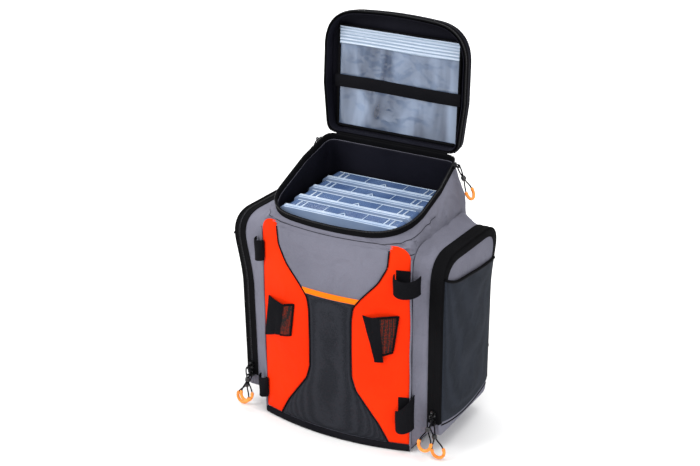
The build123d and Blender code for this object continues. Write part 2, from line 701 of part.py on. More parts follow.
zip_front_y = POCKET_FRONT_Y - TAPE - CLEAR
stations = {}
for name, side in SIDES.items():
    stations[f"{name}_upper"] = dict(
        contact=Vector(side * POCKET_SPLIT_X, zip_front_y, UPPER_SLIDER_Z),
        outward=Vector(0, -1, 0),
        axis=Vector(1, 0, 0),
        along_is_hinge=False,
        off=UPPER_OFF,
        down=(-side * sin(radians(10)), -sin(radians(16)), -cos(radians(16))),
    )
    stations[f"{name}_lower"] = dict(
        contact=Vector(side * POCKET_SPLIT_X, zip_front_y, LOWER_SLIDER_Z),
        outward=Vector(0, -1, 0),
        axis=Vector(1, 0, 0),
        along_is_hinge=False,
        off=LOWER_OFF,
        down=(side * sin(radians(25)), -sin(radians(3)), -cos(radians(25))),
    )
    taper = Vector(OPENING_HALF - OPENING_BACK_HALF, -OPENING_MID, 0).normalized()
    at = Vector(OPENING_BACK_HALF, 0, 0) + taper * LID_SLIDER_RUN_START
    beside = opening_plane.from_local_coords((side * at.X, at.Y, -COLLAR / 2))
    ahead = opening_plane.from_local_coords((side * (at.X + taper.X), at.Y + taper.Y, -COLLAR / 2))
    along = (ahead - beside).normalized()
    off_side = opening_plane.z_dir.cross(along) * side
    spot = beside + off_side * CLEAR
    stations[f"lid_{name}"] = dict(
        contact=spot,
        outward=off_side,
        axis=along,
        along_is_hinge=True,
        off=LOWER_OFF,
        down=(side * 0.46, 0, -0.89),
    )

for name, station in stations.items():
    slider = slider_piece(
        station["contact"], station["outward"], station["axis"], station["along_is_hinge"], station["off"]
    )
    save(slider, f"slider_{name}")
    hinge = station["contact"] + station["outward"] * station["off"]
    plane = aimed_plane(hinge, station["axis"], station["down"])
    cord, grip, length, radii = puller_pieces(plane)
    save(cord, f"puller_cord_{name}")
    save(grip, f"puller_grip_{name}")
    volume_ratio = cord.part.volume / (pi * CORD**2 / 4 * length)
    print(name, "hinge", hinge, "axis", station["axis"], "cord length", round(length, 1))
    print("  corner radii", [round(r, 1) for r in radii], "volume ratio", round(volume_ratio, 4))
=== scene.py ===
from math import cos, exp, pi, radians, sin, sqrt

import bpy
from mathutils import Matrix, Vector, noise


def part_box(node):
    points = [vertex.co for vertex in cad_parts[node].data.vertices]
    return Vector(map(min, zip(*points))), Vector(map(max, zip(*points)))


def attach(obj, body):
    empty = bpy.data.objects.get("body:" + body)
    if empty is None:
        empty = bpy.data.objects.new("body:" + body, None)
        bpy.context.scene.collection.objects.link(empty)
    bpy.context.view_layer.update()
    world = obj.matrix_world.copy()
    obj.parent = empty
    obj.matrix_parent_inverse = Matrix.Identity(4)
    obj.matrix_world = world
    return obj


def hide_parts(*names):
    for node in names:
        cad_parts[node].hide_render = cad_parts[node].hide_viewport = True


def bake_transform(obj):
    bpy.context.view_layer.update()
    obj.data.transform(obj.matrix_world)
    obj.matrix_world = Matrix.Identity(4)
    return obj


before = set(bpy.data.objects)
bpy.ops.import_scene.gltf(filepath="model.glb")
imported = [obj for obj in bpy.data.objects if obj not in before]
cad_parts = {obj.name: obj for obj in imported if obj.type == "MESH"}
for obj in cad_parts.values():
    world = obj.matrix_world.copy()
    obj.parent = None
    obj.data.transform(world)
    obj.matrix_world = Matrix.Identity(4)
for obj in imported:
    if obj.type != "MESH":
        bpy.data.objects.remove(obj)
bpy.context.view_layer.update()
bpy.ops.object.select_all(action="DESELECT")

# --- Studio ---------------------------------------------------------------------------------------
# A pale sweep of floor under three broad soft lamps, seen by a long lens from the right front.

eye = Vector((1.2800, -2.3182, 1.5271))
look = Vector((-0.45081, 0.79563, -0.40464)).normalized()
upward = Vector((-0.19259, 0.35595, 0.91445)).normalized()
rightward = look.cross(upward).normalized()
bpy.ops.object.camera_add()
camera = bpy.context.object
camera.matrix_world = Matrix.Translation(eye) @ Matrix((rightward, rightward.cross(look), -look)).transposed().to_4x4()
camera.data.lens = 82.3
camera.data.sensor_width = 36.0
camera.data.clip_end = 50.0
bpy.context.scene.camera = camera

bpy.ops.mesh.primitive_plane_add(size=16.0, location=(0, 0, -0.0005))
floor = bpy.context.object
floor.name = "studio_floor"
paper = bpy.data.materials.new("pale_paper")
paper.use_nodes = True
paper_shader = paper.node_tree.nodes["Principled BSDF"]
paper_shader.inputs["Base Color"].default_value = (0.95, 0.95, 0.95, 1)
paper_shader.inputs["Roughness"].default_value = 0.9
floor.data.materials.append(paper)

lamps = {
    "front_left_lamp": ((-2.2, -2.6, 2.6), 2.0, 118.0),
    "front_right_lamp": ((2.8, -1.6, 1.9), 2.2, 54.0),
    "overhead_lamp": ((0.2, 0.3, 3.2), 2.6, 70.0),
    "far_floor_lamp": ((-1.6, 3.4, 2.6), 3.4, 150.0),
}
for name, (place, size, power) in lamps.items():
    bpy.ops.object.light_add(type="AREA", location=place)
    lamp = bpy.context.object
    lamp.name = name
    lamp.data.size = size
    lamp.data.energy = power
    aim = Vector((-1.9, 4.2, 0)) if name == "far_floor_lamp" else Vector((0, 0, 0.35))
    lamp.rotation_euler = (aim - Vector(place)).to_track_quat("-Z", "Y").to_euler()
world = bpy.data.worlds.new("studio_air")
world.use_nodes = True
air_nodes, air_links = world.node_tree.nodes, world.node_tree.links
air_rays = air_nodes.new("ShaderNodeLightPath")
air_strength = air_nodes.new("ShaderNodeMapRange")
air_strength.inputs["To Min"].default_value = 0.42
air_strength.inputs["To Max"].default_value = 1.0
air_links.new(air_rays.outputs["Is Camera Ray"], air_strength.inputs["Value"])
air_links.new(air_strength.outputs["Result"], air_nodes["Background"].inputs["Strength"])
air_nodes["Background"].inputs["Color"].default_value = (1, 1, 1, 1)
bpy.context.scene.world = world
bpy.context.scene.view_settings.view_transform = "Standard"

# --- Tub and hood ---------------------------------------------------------------------------------
# The tub is one shell of stiffened grey pack cloth. It is upright to the shoulder, and above that
# the hood draws in to the sloping opening. The cloth is cut in panels and sewn, then turned out.

HINGE = Vector((0, 0.093, 0.4975))
TILT = radians(17.4)
LEAN = radians(3.7)
SHOULDER = 0.385
FRONT_RADIUS = (0.150**2 + 0.023**2) / (2 * 0.023)
TUB_PLAN = dict(back=0.150, wide=0.153, wide_y=0.020, front=0.150, back_y=0.112, edge_y=-0.112, bow=0.023, back_r=0.014, front_r=0.013)
LID_PLAN = dict(back=0.132, wide=0.1415, wide_y=-0.090, front=0.1405, back_y=0.0, edge_y=-0.2235, bow=0.011, back_r=0.018, front_r=0.062)
OPENING_PLAN = dict(back=0.132, wide=0.1425, wide_y=-0.090, front=0.142, back_y=0.0, edge_y=-0.223, bow=0.018, back_r=0.018, front_r=0.073)
# The left side of the opening has pulled in a little, with a tighter front corner.
OPENING_LEFT = dict(OPENING_PLAN, back=0.1315, wide=0.1392, wide_y=-0.080, front=0.1345, front_r=0.054)


def mix(a, b, t):
    return a + (b - a) * t


def ease(t):
    t = min(max(t, 0.0), 1.0)
    return t * t * (3 - 2 * t)


def round_corner(start, corner, end, t):
    return start * (1 - t) ** 2 + corner * 2 * t * (1 - t) + end * t**2


def around(t, plan, inset=0.0):
    """A point on a plan of the pack: t runs from the middle of the back edge round the right side."""
    s = t if t <= 0.5 else 1 - t
    back = plan["back"] - inset
    wide = plan["wide"] - inset
    front = plan["front"] - inset
    back_y = plan["back_y"] - inset
    edge_y = plan["edge_y"] + inset
    back_r = max(plan["back_r"] - inset * 0.6, 0.004)
    front_r = max(plan["front_r"] - inset, 0.006)

    def side_x(y):
        if y > plan["wide_y"]:
            return mix(wide, back, (y - plan["wide_y"]) / (back_y - plan["wide_y"]))
        return mix(wide, front, (plan["wide_y"] - y) / (plan["wide_y"] - edge_y))

    side_back = Vector((side_x(back_y - back_r), back_y - back_r))
    side_front = Vector((side_x(edge_y + front_r), edge_y + front_r))
    if s < 0.10:
        p = Vector((s / 0.10 * (back - back_r), back_y))
    elif s < 0.13:
        p = round_corner(Vector((back - back_r, back_y)), Vector((back, back_y)), side_back, (s - 0.10) / 0.03)
    elif s < 0.29:
        y = mix(side_back.y, side_front.y, (s - 0.13) / 0.16)
        p = Vector((side_x(y), y))
    elif s < 0.37:
        p = round_corner(side_front, Vector((front, edge_y)), Vector((front - front_r, edge_y)), (s - 0.29) / 0.08)
    else:
        p = Vector((mix(front - front_r, 0.0, (s - 0.37) / 0.13), edge_y))
    if s > 0.29:
        p.y -= plan["bow"] * max(0.0, 1 - (p.x / front) ** 2)
    if t > 0.5:
        p.x = -p.x
    return p


def on_opening(t, lift, inset=0.0):
    p = around(t, OPENING_LEFT if t > 0.5 else OPENING_PLAN, inset)
    return HINGE + Vector((p.x, p.y * cos(TILT) - lift * sin(TILT), p.y * sin(TILT) + lift * cos(TILT)))


def on_lid(t, depth, inset=0.0):
    """A point on the open lid: depth runs from its rim to its back."""
    p = around(t, LID_PLAN, inset)
    up = 0.0018 - p.y
    return HINGE + Vector((p.x, up * sin(LEAN) + depth * cos(LEAN), up * cos(LEAN) - depth * sin(LEAN)))


def on_tub(t, z, inset=0.0):
    p = around(t, TUB_PLAN, inset)
    return Vector((p.x, p.y, z))


def front_y(x, proud=0.0):
    return -0.135 + FRONT_RADIUS - sqrt((FRONT_RADIUS + proud) ** 2 - x * x)


def creases(p, size, depth):
    """Soft drape creases: broad swells with narrow valleys."""
    swell = noise.noise(p * size)
    narrow = 1 - abs(noise.noise(p * size * 2.1 + Vector((7.1, 3.3, 1.7)))) * 3
    return depth * (swell + 0.35 * max(narrow, 0.0))


def shaped_sheet(name, cols, rows, place, thick=0.0, offset=-1.0, joined=False, smooth=50):
    """A grid shaped point by point, welded where its edges meet, and given its cloth's thickness."""
    bpy.ops.object.select_all(action="DESELECT")
    bpy.ops.mesh.primitive_grid_add(x_subdivisions=cols, y_subdivisions=rows, size=2, calc_uvs=True)
    sheet = bpy.context.object
    sheet.name = name
    sheet.data.name = name
    for vertex in sheet.data.vertices:
        vertex.co = place((vertex.co.x + 1) / 2, (vertex.co.y + 1) / 2)
    if joined:
        bpy.ops.object.mode_set(mode="EDIT")
        bpy.ops.mesh.select_all(action="SELECT")
        bpy.ops.mesh.remove_doubles(threshold=0.00002)
        bpy.ops.mesh.normals_make_consistent(inside=False)
        bpy.ops.object.mode_set(mode="OBJECT")
    if thick:
        wall = sheet.modifiers.new("cloth", "SOLIDIFY")
        wall.thickness = thick
        wall.offset = offset
        bpy.ops.object.modifier_apply(modifier="cloth")
    bpy.ops.object.shade_smooth_by_angle(angle=radians(smooth))
    return sheet


def weave_group():
    """Plain weave and slow dye variation, from the piece's own coordinates."""
    group = bpy.data.node_groups.new("plain_weave", "ShaderNodeTree")
    for socket, low in (("Threads", 900.0), ("Blotch", 9.0)):
        group.interface.new_socket(socket, in_out="INPUT", socket_type="NodeSocketFloat").default_value = low
    for socket in ("Weave", "Dye"):
        group.interface.new_socket(socket, in_out="OUTPUT", socket_type="NodeSocketFloat")
    nodes, links = group.nodes, group.links
    entry = nodes.new("NodeGroupInput")
    leave = nodes.new("NodeGroupOutput")
    where = nodes.new("ShaderNodeTexCoord")
    parts = nodes.new("ShaderNodeSeparateXYZ")
    links.new(where.outputs["Object"], parts.inputs[0])

    def maths(kind, a, b=None):
        node = nodes.new("ShaderNodeMath")
        node.operation = kind
        for value, socket in zip((a, b), node.inputs):
            if value is None:
                continue
            if isinstance(value, (int, float)):
                socket.default_value = value
            else:
                links.new(value, socket)
        return node.outputs[0]

    across = maths("ADD", parts.outputs["X"], maths("MULTIPLY", parts.outputs["Y"], 1.07))
    along = maths("ADD", parts.outputs["Z"], maths("MULTIPLY", parts.outputs["Y"], 0.21))
    warp = maths("SINE", maths("MULTIPLY", across, entry.outputs["Threads"]))
    weft = maths("SINE", maths("MULTIPLY", along, entry.outputs["Threads"]))
    crossing = maths("MULTIPLY", warp, weft)
    grain = nodes.new("ShaderNodeTexNoise")
    grain.inputs["Scale"].default_value = 700.0
    links.new(where.outputs["Object"], grain.inputs["Vector"])
    fuzz = maths("MULTIPLY", grain.outputs[0], 0.6)
    links.new(maths("ADD", maths("MULTIPLY", crossing, 0.35), fuzz), leave.inputs["Weave"])
    blotch = nodes.new("ShaderNodeTexNoise")
    blotch.inputs["Detail"].default_value = 5.0
    links.new(where.outputs["Object"], blotch.inputs["Vector"])
    links.new(entry.outputs["Blotch"], blotch.inputs["Scale"])
    mottled = maths("ADD", maths("MULTIPLY", blotch.outputs[0], 0.7), maths("MULTIPLY", grain.outputs[0], 0.3))
    links.new(mottled, leave.inputs["Dye"])
    return group


plain_weave = weave_group()


def cloth_material(name, light, dark, rough=0.75, threads=2600.0, bump=0.25, sheen=0.04, blotch=9.0, folds=0.0):
    material = bpy.data.materials.new(name)
    material.use_nodes = True
    nodes, links = material.node_tree.nodes, material.node_tree.links
    shader = nodes["Principled BSDF"]
    cloth = nodes.new("ShaderNodeGroup")
    cloth.node_tree = plain_weave
    cloth.inputs["Threads"].default_value = threads
    cloth.inputs["Blotch"].default_value = blotch
    tint = nodes.new("ShaderNodeValToRGB")
    tint.color_ramp.elements[0].position = 0.30
    tint.color_ramp.elements[0].color = (*dark, 1)
    tint.color_ramp.elements[1].position = 0.70
    tint.color_ramp.elements[1].color = (*light, 1)
    links.new(cloth.outputs["Dye"], tint.inputs["Fac"])
    links.new(tint.outputs["Color"], shader.inputs["Base Color"])
    ridge = nodes.new("ShaderNodeBump")
    ridge.inputs["Strength"].default_value = bump
    ridge.inputs["Distance"].default_value = 0.0006
    links.new(cloth.outputs["Weave"], ridge.inputs["Height"])
    links.new(ridge.outputs["Normal"], shader.inputs["Normal"])
    if folds:
        where = nodes.new("ShaderNodeTexCoord")
        slack = nodes.new("ShaderNodeTexNoise")
        slack.inputs["Scale"].default_value = 15.0
        slack.inputs["Detail"].default_value = 3.0
        slack.inputs["Distortion"].default_value = 0.8
        links.new(where.outputs["Object"], slack.inputs["Vector"])
        drape = nodes.new("ShaderNodeBump")
        drape.inputs["Strength"].default_value = folds
        drape.inputs["Distance"].default_value = 0.012
        links.new(slack.outputs[0], drape.inputs["Height"])
        links.new(drape.outputs["Normal"], ridge.inputs["Normal"])
    shader.inputs["Roughness"].default_value = rough
    shader.inputs["Sheen Weight"].default_value = sheen
    shader.inputs["Specular IOR Level"].default_value = 0.03
    return material


grey_cloth = cloth_material("grey_pack_cloth", (0.190, 0.190, 0.238), (0.128, 0.128, 0.163), folds=0.8)


def finish_piece(piece, material, body, slot, *nodes):
    piece.data.materials.clear()
    piece.data.materials.append(material)
    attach(piece, body)
    if nodes:
        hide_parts(*nodes)
    return piece


def tub_and_hood(u, v):
    if v < 0.45:
        z = mix(0.003, SHOULDER, v / 0.45)
        p = on_tub(u, z)
        loose = ease((z - 0.1) / 0.2) * 0.4
    else:
        t = (v - 0.45) / 0.55
        low = on_tub(u, SHOULDER)
        high = on_opening(u, -0.0135)
        p = low.lerp(high, t)
        out = Vector((p.x, p.y, 0)).normalized()
        p += out * (0.0035 * sin(pi * t) * (1 if p.y > -0.09 else 0.2))
        turned = abs(u - 0.5)
        ridge = max(0.0, 0.30 - abs(noise.noise(Vector((turned * 30 + t * 1.6, t * 1.3, 5.1 + (u > 0.5)))))) / 0.30
        p += out * 0.0042 * ridge * ridge * sin(pi * t) * ease((0.27 - turned + 0.16) / 0.1) * ease((turned - 0.06) / 0.1)
        loose = 0.4 + 0.6 * ease(t * 3) * ease((1 - t) * 4)
    if p.y < -0.108 and p.z < 0.406:
        loose = 0.0
    out = Vector((p.x, p.y, 0)).normalized()
    return p + out * creases(p, 13.0, 0.0036) * loose


tub = shaped_sheet("tub_and_hood", 224, 84, tub_and_hood, thick=0.0025, joined=True)
finish_piece(tub, grey_cloth, "pack", "grey_fabric", "main_shell")

# Dark grey for the hood's seam strands: a painted shadow line along each seam.
seam_shadow_line = cloth_material("dark_seam_painted_shadow", (0.045, 0.045, 0.058), (0.028, 0.028, 0.036))
# --- Lining and padded floor ----------------------------------------------------------------------
# A black nylon lining hangs inside the tub, over a block of foam that the boxes stand on. It is sewn
# in at the zip, so it is loose lower down and shows shallow creases.

black_nylon = cloth_material("black_lining_nylon", (0.012, 0.012, 0.018), (0.004, 0.004, 0.007), rough=0.50, threads=3600.0, bump=0.15, sheen=0.0)


def lining_shape(u, v):
    if v < 0.2:
        middle = Vector((0, -0.010, 0.0607))
        return middle.lerp(on_tub(u, 0.0607, 0.0098), v / 0.2)
    if v < 0.5:
        z = mix(0.0607, SHOULDER, (v - 0.2) / 0.3)
        p = on_tub(u, z, 0.0098)
    else:
        t = (v - 0.5) / 0.5
        p = on_tub(u, SHOULDER, 0.0098).lerp(on_opening(u, -0.013, 0.0042), t)
    out = Vector((p.x, p.y, 0)).normalized()
    drape = ease((v - 0.22) / 0.2) * ease((1 - v) / 0.1)
    return p - out * 0.5 * (abs(creases(p, 22.0, 0.0022)) * drape)


lining = shaped_sheet("main_lining_cloth", 160, 70, lining_shape, joined=True)
bpy.ops.object.mode_set(mode="EDIT")
bpy.ops.mesh.select_all(action="SELECT")
bpy.ops.mesh.flip_normals()
bpy.ops.object.mode_set(mode="OBJECT")
wall = lining.modifiers.new("cloth", "SOLIDIFY")
wall.thickness = 0.0012
wall.offset = -1.0
bpy.ops.object.modifier_apply(modifier="cloth")
finish_piece(lining, black_nylon, "pack", "lining", "main_lining")

foam = cloth_material("closed_cell_foam", (0.06, 0.06, 0.065), (0.035, 0.035, 0.04), rough=0.95, threads=1500.0, bump=0.1)


def pad_shape(u, v):
    """A closed slab: bottom, rounded edge and top."""
    inset = 0.0125
    if v < 0.3:
        return Vector((0, -0.01, 0.0072)).lerp(on_tub(u, 0.0072, inset + 0.004), v / 0.3)
    if v > 0.7:
        return Vector((0, -0.01, 0.0582)).lerp(on_tub(u, 0.0582, inset + 0.004), (1 - v) / 0.3)
    t = (v - 0.3) / 0.4
    return on_tub(u, mix(0.0072, 0.0582, t), inset + 0.004 * abs(2 * t - 1) ** 3)


pad = shaped_sheet("padded_floor_foam", 80, 24, pad_shape, joined=True)
finish_piece(pad, foam, "pack", "foam", "padded_floor")

# --- Zip round the opening ------------------------------------------------------------------------
# A black woven tape stands up round the opening, bound at its foot, with a row of moulded teeth on
# its upper edge. It is sewn to the hood and carries the lid's zip.

black_tape = cloth_material("black_zip_tape", (0.0065, 0.0065, 0.0075), (0.0025, 0.0025, 0.003), rough=0.8, threads=1900.0, bump=0.45, sheen=0.0)


def tape_profile(v):
    """Bound foot, flat tape and rolled top edge: how far the band stands proud."""
    foot = 0.0016 * exp(-((v - 0.10) / 0.09) ** 2)
    rolled = 0.0009 * exp(-((v - 0.90) / 0.08) ** 2)
    return 0.0006 + foot + rolled


rim = shaped_sheet("opening_zip_band", 240, 18, lambda u, v: on_opening(u, mix(-0.0155, -0.0006, v), -tape_profile(v)), thick=0.0026, joined=True)
finish_piece(rim, black_tape, "pack", "black_fabric", "opening_zip_tape")


def tooth_material():
    """Moulded coil: gloss black with a tooth every 2 mm along the piece's own length."""
    material = bpy.data.materials.new("moulded_zip_teeth")
    material.use_nodes = True
    nodes, links = material.node_tree.nodes, material.node_tree.links
    shader = nodes["Principled BSDF"]
    where = nodes.new("ShaderNodeTexCoord")
    bands = nodes.new("ShaderNodeTexWave")
    bands.bands_direction = "X"
    bands.inputs["Scale"].default_value = 70.0
    bands.inputs["Distortion"].default_value = 0.0
    links.new(where.outputs["UV"], bands.inputs["Vector"])
    tooth = nodes.new("ShaderNodeBump")
    tooth.inputs["Distance"].default_value = 0.001
    tooth.inputs["Strength"].default_value = 0.9
    links.new(bands.outputs[0], tooth.inputs["Height"])
    links.new(tooth.outputs["Normal"], shader.inputs["Normal"])
    ramp = nodes.new("ShaderNodeValToRGB")
    ramp.color_ramp.elements[0].color = (0.004, 0.004, 0.005, 1)
    ramp.color_ramp.elements[1].color = (0.016, 0.016, 0.018, 1)
    links.new(bands.outputs[0], ramp.inputs["Fac"])
    links.new(ramp.outputs["Color"], shader.inputs["Base Color"])
    shader.inputs["Roughness"].default_value = 0.5
    shader.inputs["Specular IOR Level"].default_value = 0.2
    return material


zip_teeth = tooth_material()


def tube(name, path, radius, steps, sides=8, joined=True):
    """A round strand along a path of the form path(t)."""

    def place(u, v):
        here = path(u)
        ahead = path(min(u + 0.002, 1.0))
        behind = path(max(u - 0.002, 0.0))
        along = (ahead - behind).normalized()
        side = along.cross(Vector((0.13, 0.21, 0.97)))
        if side.length < 0.2:
            side = along.cross(Vector((1, 0, 0)))
        side.normalize()
        other = along.cross(side)
        reach = radius(u) if callable(radius) else radius
        return here + reach * (side * cos(2 * pi * v) + other * sin(2 * pi * v))

    return shaped_sheet(name, steps, sides, place, joined=joined, smooth=80)


rim_teeth = tube("opening_zip_teeth", lambda t: on_opening(mix(0.112, 0.888, t), -0.0022, -0.0012), 0.0014, 260, joined=False)
finish_piece(rim_teeth, zip_teeth, "pack", "black_fabric")

# Two turned seams run round the front of the hood: one under the zip tape, one over the yoke. Each is a thin raised
# strand in dark grey: the ridge is real, and the dark colour is a painted shadow line along the seam.
for name, level, first, last in (("under_rim", 0.80, 0.245, 0.755), ("over_yoke", 0.475, 0.30, 0.70)):
    seam_line = lambda t, level=level, first=first, last=last: tub_and_hood(mix(first, last, t), level)
    seam = tube(f"hood_seam_{name}", seam_line, 0.0008, 160, sides=6)
    finish_piece(seam, seam_shadow_line, "pack", "grey_fabric")

# --- Front panels ---------------------------------------------------------------------------------
# Thin padded panels cover the bowed front: coated orange cloth at each side, a grey yoke above, a
# narrow bright stripe, and dark air mesh in the waisted middle. Each is turned in along its seams.

orange_cloth = cloth_material("orange_coated_cloth", (0.98, 0.038, 0.004), (0.80, 0.022, 0.002), rough=0.62, threads=2600.0, bump=0.22, sheen=0.0, blotch=6.0, folds=0.25)
bright_orange = cloth_material("bright_orange_stripe", (1.0, 0.22, 0.008), (0.9, 0.17, 0.006), rough=0.5, threads=2600.0, bump=0.1, sheen=0.0)
WAIST = [(0.113, 0.013), (0.107, 0.025), (0.094, 0.049), (0.069, 0.084), (0.051, 0.109), (0.043, 0.135), (0.0425, 0.190), (0.043, 0.248), (0.047, 0.274), (0.063, 0.295), (0.093, 0.328), (0.110, 0.360), (0.114, 0.403)]


def waist_x(z):
    """Half width of the middle field at a height, from its seam's own bends."""
    for (x0, z0), (x1, z1) in zip(WAIST, WAIST[1:]):
        if z <= z1:
            t = min(max((z - z0) / (z1 - z0), 0), 1)
            return mix(x0, x1, t)
    return WAIST[-1][0]


def soft_waist_x(z):
    return sum(waist_x(z + step * 0.0035) * weight for step, weight in ((-2, 1), (-1, 2), (0, 3), (1, 2), (2, 1))) / 9


def panel_sheet(name, inner, outer, low, high, cols, rows, puff, loose=0.0010, turn=0.006):
    def place(u, v):
        z = mix(low(u) if callable(low) else low, high(u) if callable(high) else high, v)
        a, b = inner(z), outer(z)
        x = mix(a, b, u)
        edge = min(abs(x - a), abs(b - x), z - mix(a, a, 0) * 0 - (low(u) if callable(low) else low), (high(u) if callable(high) else high) - z)
        edge = max(edge, 0.0)
        rise = puff * (1 - exp(-edge / turn)) - 0.0003
        p = Vector((x, 0, z))
        rise += creases(p + Vector((0, 0.3, 0)), 13.0, loose) * (1 - exp(-edge / 0.016))
        return Vector((x, front_y(x, max(rise, -0.0003) + 0.0002), z))

    return shaped_sheet(name, cols, rows, place, thick=0.0012, offset=-1.0, smooth=60)


def outer_seam_x(z):
    return 0.1495 if z < 0.377 else 0.1235 + sqrt(max(0.026**2 - (z - 0.377) ** 2, 0.0))


for name, side in (("left", -1), ("right", 1)):
    inner = lambda z, side=side: side * (soft_waist_x(z) + 0.0004)
    outer = lambda z, side=side: side * outer_seam_x(z)
    first, second = (inner, outer) if side > 0 else (outer, inner)
    panel = panel_sheet(f"orange_panel_{name}", first, second, 0.0145, 0.4028, 40, 130, 0.0036)
    finish_piece(panel, orange_cloth, "pack", "orange_fabric", f"front_panel_{name}")

left_field = lambda z: -soft_waist_x(z)
right_field = lambda z: soft_waist_x(z)
yoke = panel_sheet("grey_yoke", left_field, right_field, 0.2908, 0.3935, 80, 50, 0.0030)
finish_piece(yoke, grey_cloth, "pack", "grey_fabric", "yoke_panel")
stripe = panel_sheet("bright_stripe", left_field, right_field, 0.2795, 0.2908, 60, 10, 0.0030, loose=0.0, turn=0.002)
finish_piece(stripe, bright_orange, "pack", "light_orange", "accent_stripe")


def mesh_material(name, thread, gap, pitch, rough=0.6):
    """Knitted air mesh: dark round holes in staggered rows."""
    material = bpy.data.materials.new(name)
    material.use_nodes = True
    nodes, links = material.node_tree.nodes, material.node_tree.links
    shader = nodes["Principled BSDF"]
    where = nodes.new("ShaderNodeTexCoord")
    holes = nodes.new("ShaderNodeTexVoronoi")
    holes.inputs["Scale"].default_value = 1 / pitch
    holes.inputs["Randomness"].default_value = 0.25
    links.new(where.outputs["Object"], holes.inputs["Vector"])
    cloth = nodes.new("ShaderNodeGroup")
    cloth.node_tree = plain_weave
    cloth.inputs["Threads"].default_value = 3000.0
    cloth.inputs["Blotch"].default_value = 12.0
    ramp = nodes.new("ShaderNodeValToRGB")
    ramp.color_ramp.elements[0].position = 0.25
    ramp.color_ramp.elements[0].color = (*gap, 1)
    ramp.color_ramp.elements[1].position = 0.5
    ramp.color_ramp.elements[1].color = (*thread, 1)
    links.new(holes.outputs["Distance"], ramp.inputs["Fac"])
    worn = nodes.new("ShaderNodeMix")
    worn.data_type = "RGBA"
    worn.blend_type = "MULTIPLY"
    worn.inputs["Factor"].default_value = 0.35
    links.new(ramp.outputs["Color"], worn.inputs["A"])
    links.new(cloth.outputs["Dye"], worn.inputs["B"])
    links.new(worn.outputs["Result"], shader.inputs["Base Color"])
    knit = nodes.new("ShaderNodeBump")
    knit.inputs["Distance"].default_value = 0.0007
    knit.inputs["Strength"].default_value = 0.7
    links.new(holes.outputs["Distance"], knit.inputs["Height"])
    links.new(knit.outputs["Normal"], shader.inputs["Normal"])
    shader.inputs["Roughness"].default_value = rough
    shader.inputs["Specular IOR Level"].default_value = 0.03
    return material


air_mesh = mesh_material("charcoal_air_mesh", (0.030, 0.032, 0.040), (0.008, 0.009, 0.012), 0.0022)
centre = panel_sheet("centre_air_mesh", left_field, right_field, 0.0145, 0.2793, 80, 110, 0.0028)
finish_piece(centre, air_mesh, "pack", "dark_mesh", "centre_panel")

# Dark turned seams close the edges between the coloured panels and the middle field.
for name, side in (("left", -1), ("right", 1)):
    waist_seam = lambda t, side=side: Vector((side * soft_waist_x(mix(0.015, 0.393, t)), front_y(soft_waist_x(mix(0.015, 0.393, t)), 0.0016), mix(0.015, 0.393, t)))
    seam = tube(f"waist_seam_{name}", waist_seam, 0.0011, 180, sides=6)
    finish_piece(seam, black_tape, "pack", "black_fabric")

# --- Base and piping ------------------------------------------------------------------------------
# The bottom is a tough black sheet, turned up the front as a bound strip. Corded piping covers the
# seams where the front meets the sides.

tough_black = cloth_material("tough_black_base", (0.012, 0.012, 0.015), (0.004, 0.004, 0.006), rough=0.7, threads=1700.0, bump=0.5, sheen=0.0)


def base_shape(u, v):
    if v < 0.45:
        return Vector((0, -0.01, 0.0002)).lerp(on_tub(u, 0.0002, 0.002), v / 0.45)
    if v < 0.6:
        t = (v - 0.45) / 0.15
        return on_tub(u, mix(0.0002, 0.0030, t), 0.002 - 0.0026 * sin(pi / 2 * t))
    return on_tub(u, mix(0.0030, 0.0042, (v - 0.6) / 0.4), -0.0006 + 0.0012 * (v - 0.6) / 0.4)


base = shaped_sheet("base_sheet", 140, 26, base_shape, thick=0.0012, offset=-1.0, joined=True)
finish_piece(base, tough_black, "pack", "black_fabric", "base_panel")


def foot_band(u, v):
    x = mix(-0.1512, 0.1512, u)
    proud = 0.0040 * sin(pi * min(max(v, 0.02), 0.98)) ** 0.45
    return Vector((x, front_y(x, proud), mix(0.0006, 0.0150, v)))


foot = shaped_sheet("foot_band", 90, 12, foot_band, thick=0.0012, offset=-1.0)
finish_piece(foot, tough_black, "pack", "black_fabric")

for name, side in (("left", -1), ("right", 1)):
    seam = lambda t, side=side: Vector((side * (0.1508 + 0.0006 * sin(t * 21)), front_y(0.150, 0.0012) + 0.0006 * sin(t * 13), mix(0.004, 0.3805, t)))
    piping = tube(f"front_piping_{name}", seam, 0.0017, 90, sides=10)
    finish_piece(piping, grey_cloth, "pack", "black_fabric", "side_piping")

# --- Rod loops ------------------------------------------------------------------------------------
# Four short lengths of black webbing stand out from the front seams as open loops for rods. Each is
# sewn flat to the orange panel at one end and caught in the side seam at the other.

webbing = cloth_material("black_webbing", (0.009, 0.009, 0.011), (0.003, 0.003, 0.004), rough=0.78, threads=1300.0, bump=0.7, sheen=0.0)


def bezier(points, t):
    points = list(points)
    while len(points) > 1:
        points = [a.lerp(b, t) for a, b in zip(points, points[1:])]
    return points[0]


def loop_band(name, side, plan, low, high, slouch=0.0):
    """A band of webbing on a plan of control points, with a high and a low edge."""
    plan = [Vector((side * x, y, 0)) for x, y in plan]

    def place(u, v):
        p = bezier(plan, u)
        sag = slouch * sin(pi * u)
        p.z = mix(mix(low[0], low[1], u) - sag * 0.5, mix(high[0], high[1], u) - sag, v)
        return p + Vector((0, 0.0008 * sin(9 * u + 5 * v), 0))

    return shaped_sheet(name, 36, 12, place, thick=0.0018, offset=0.0, smooth=60)


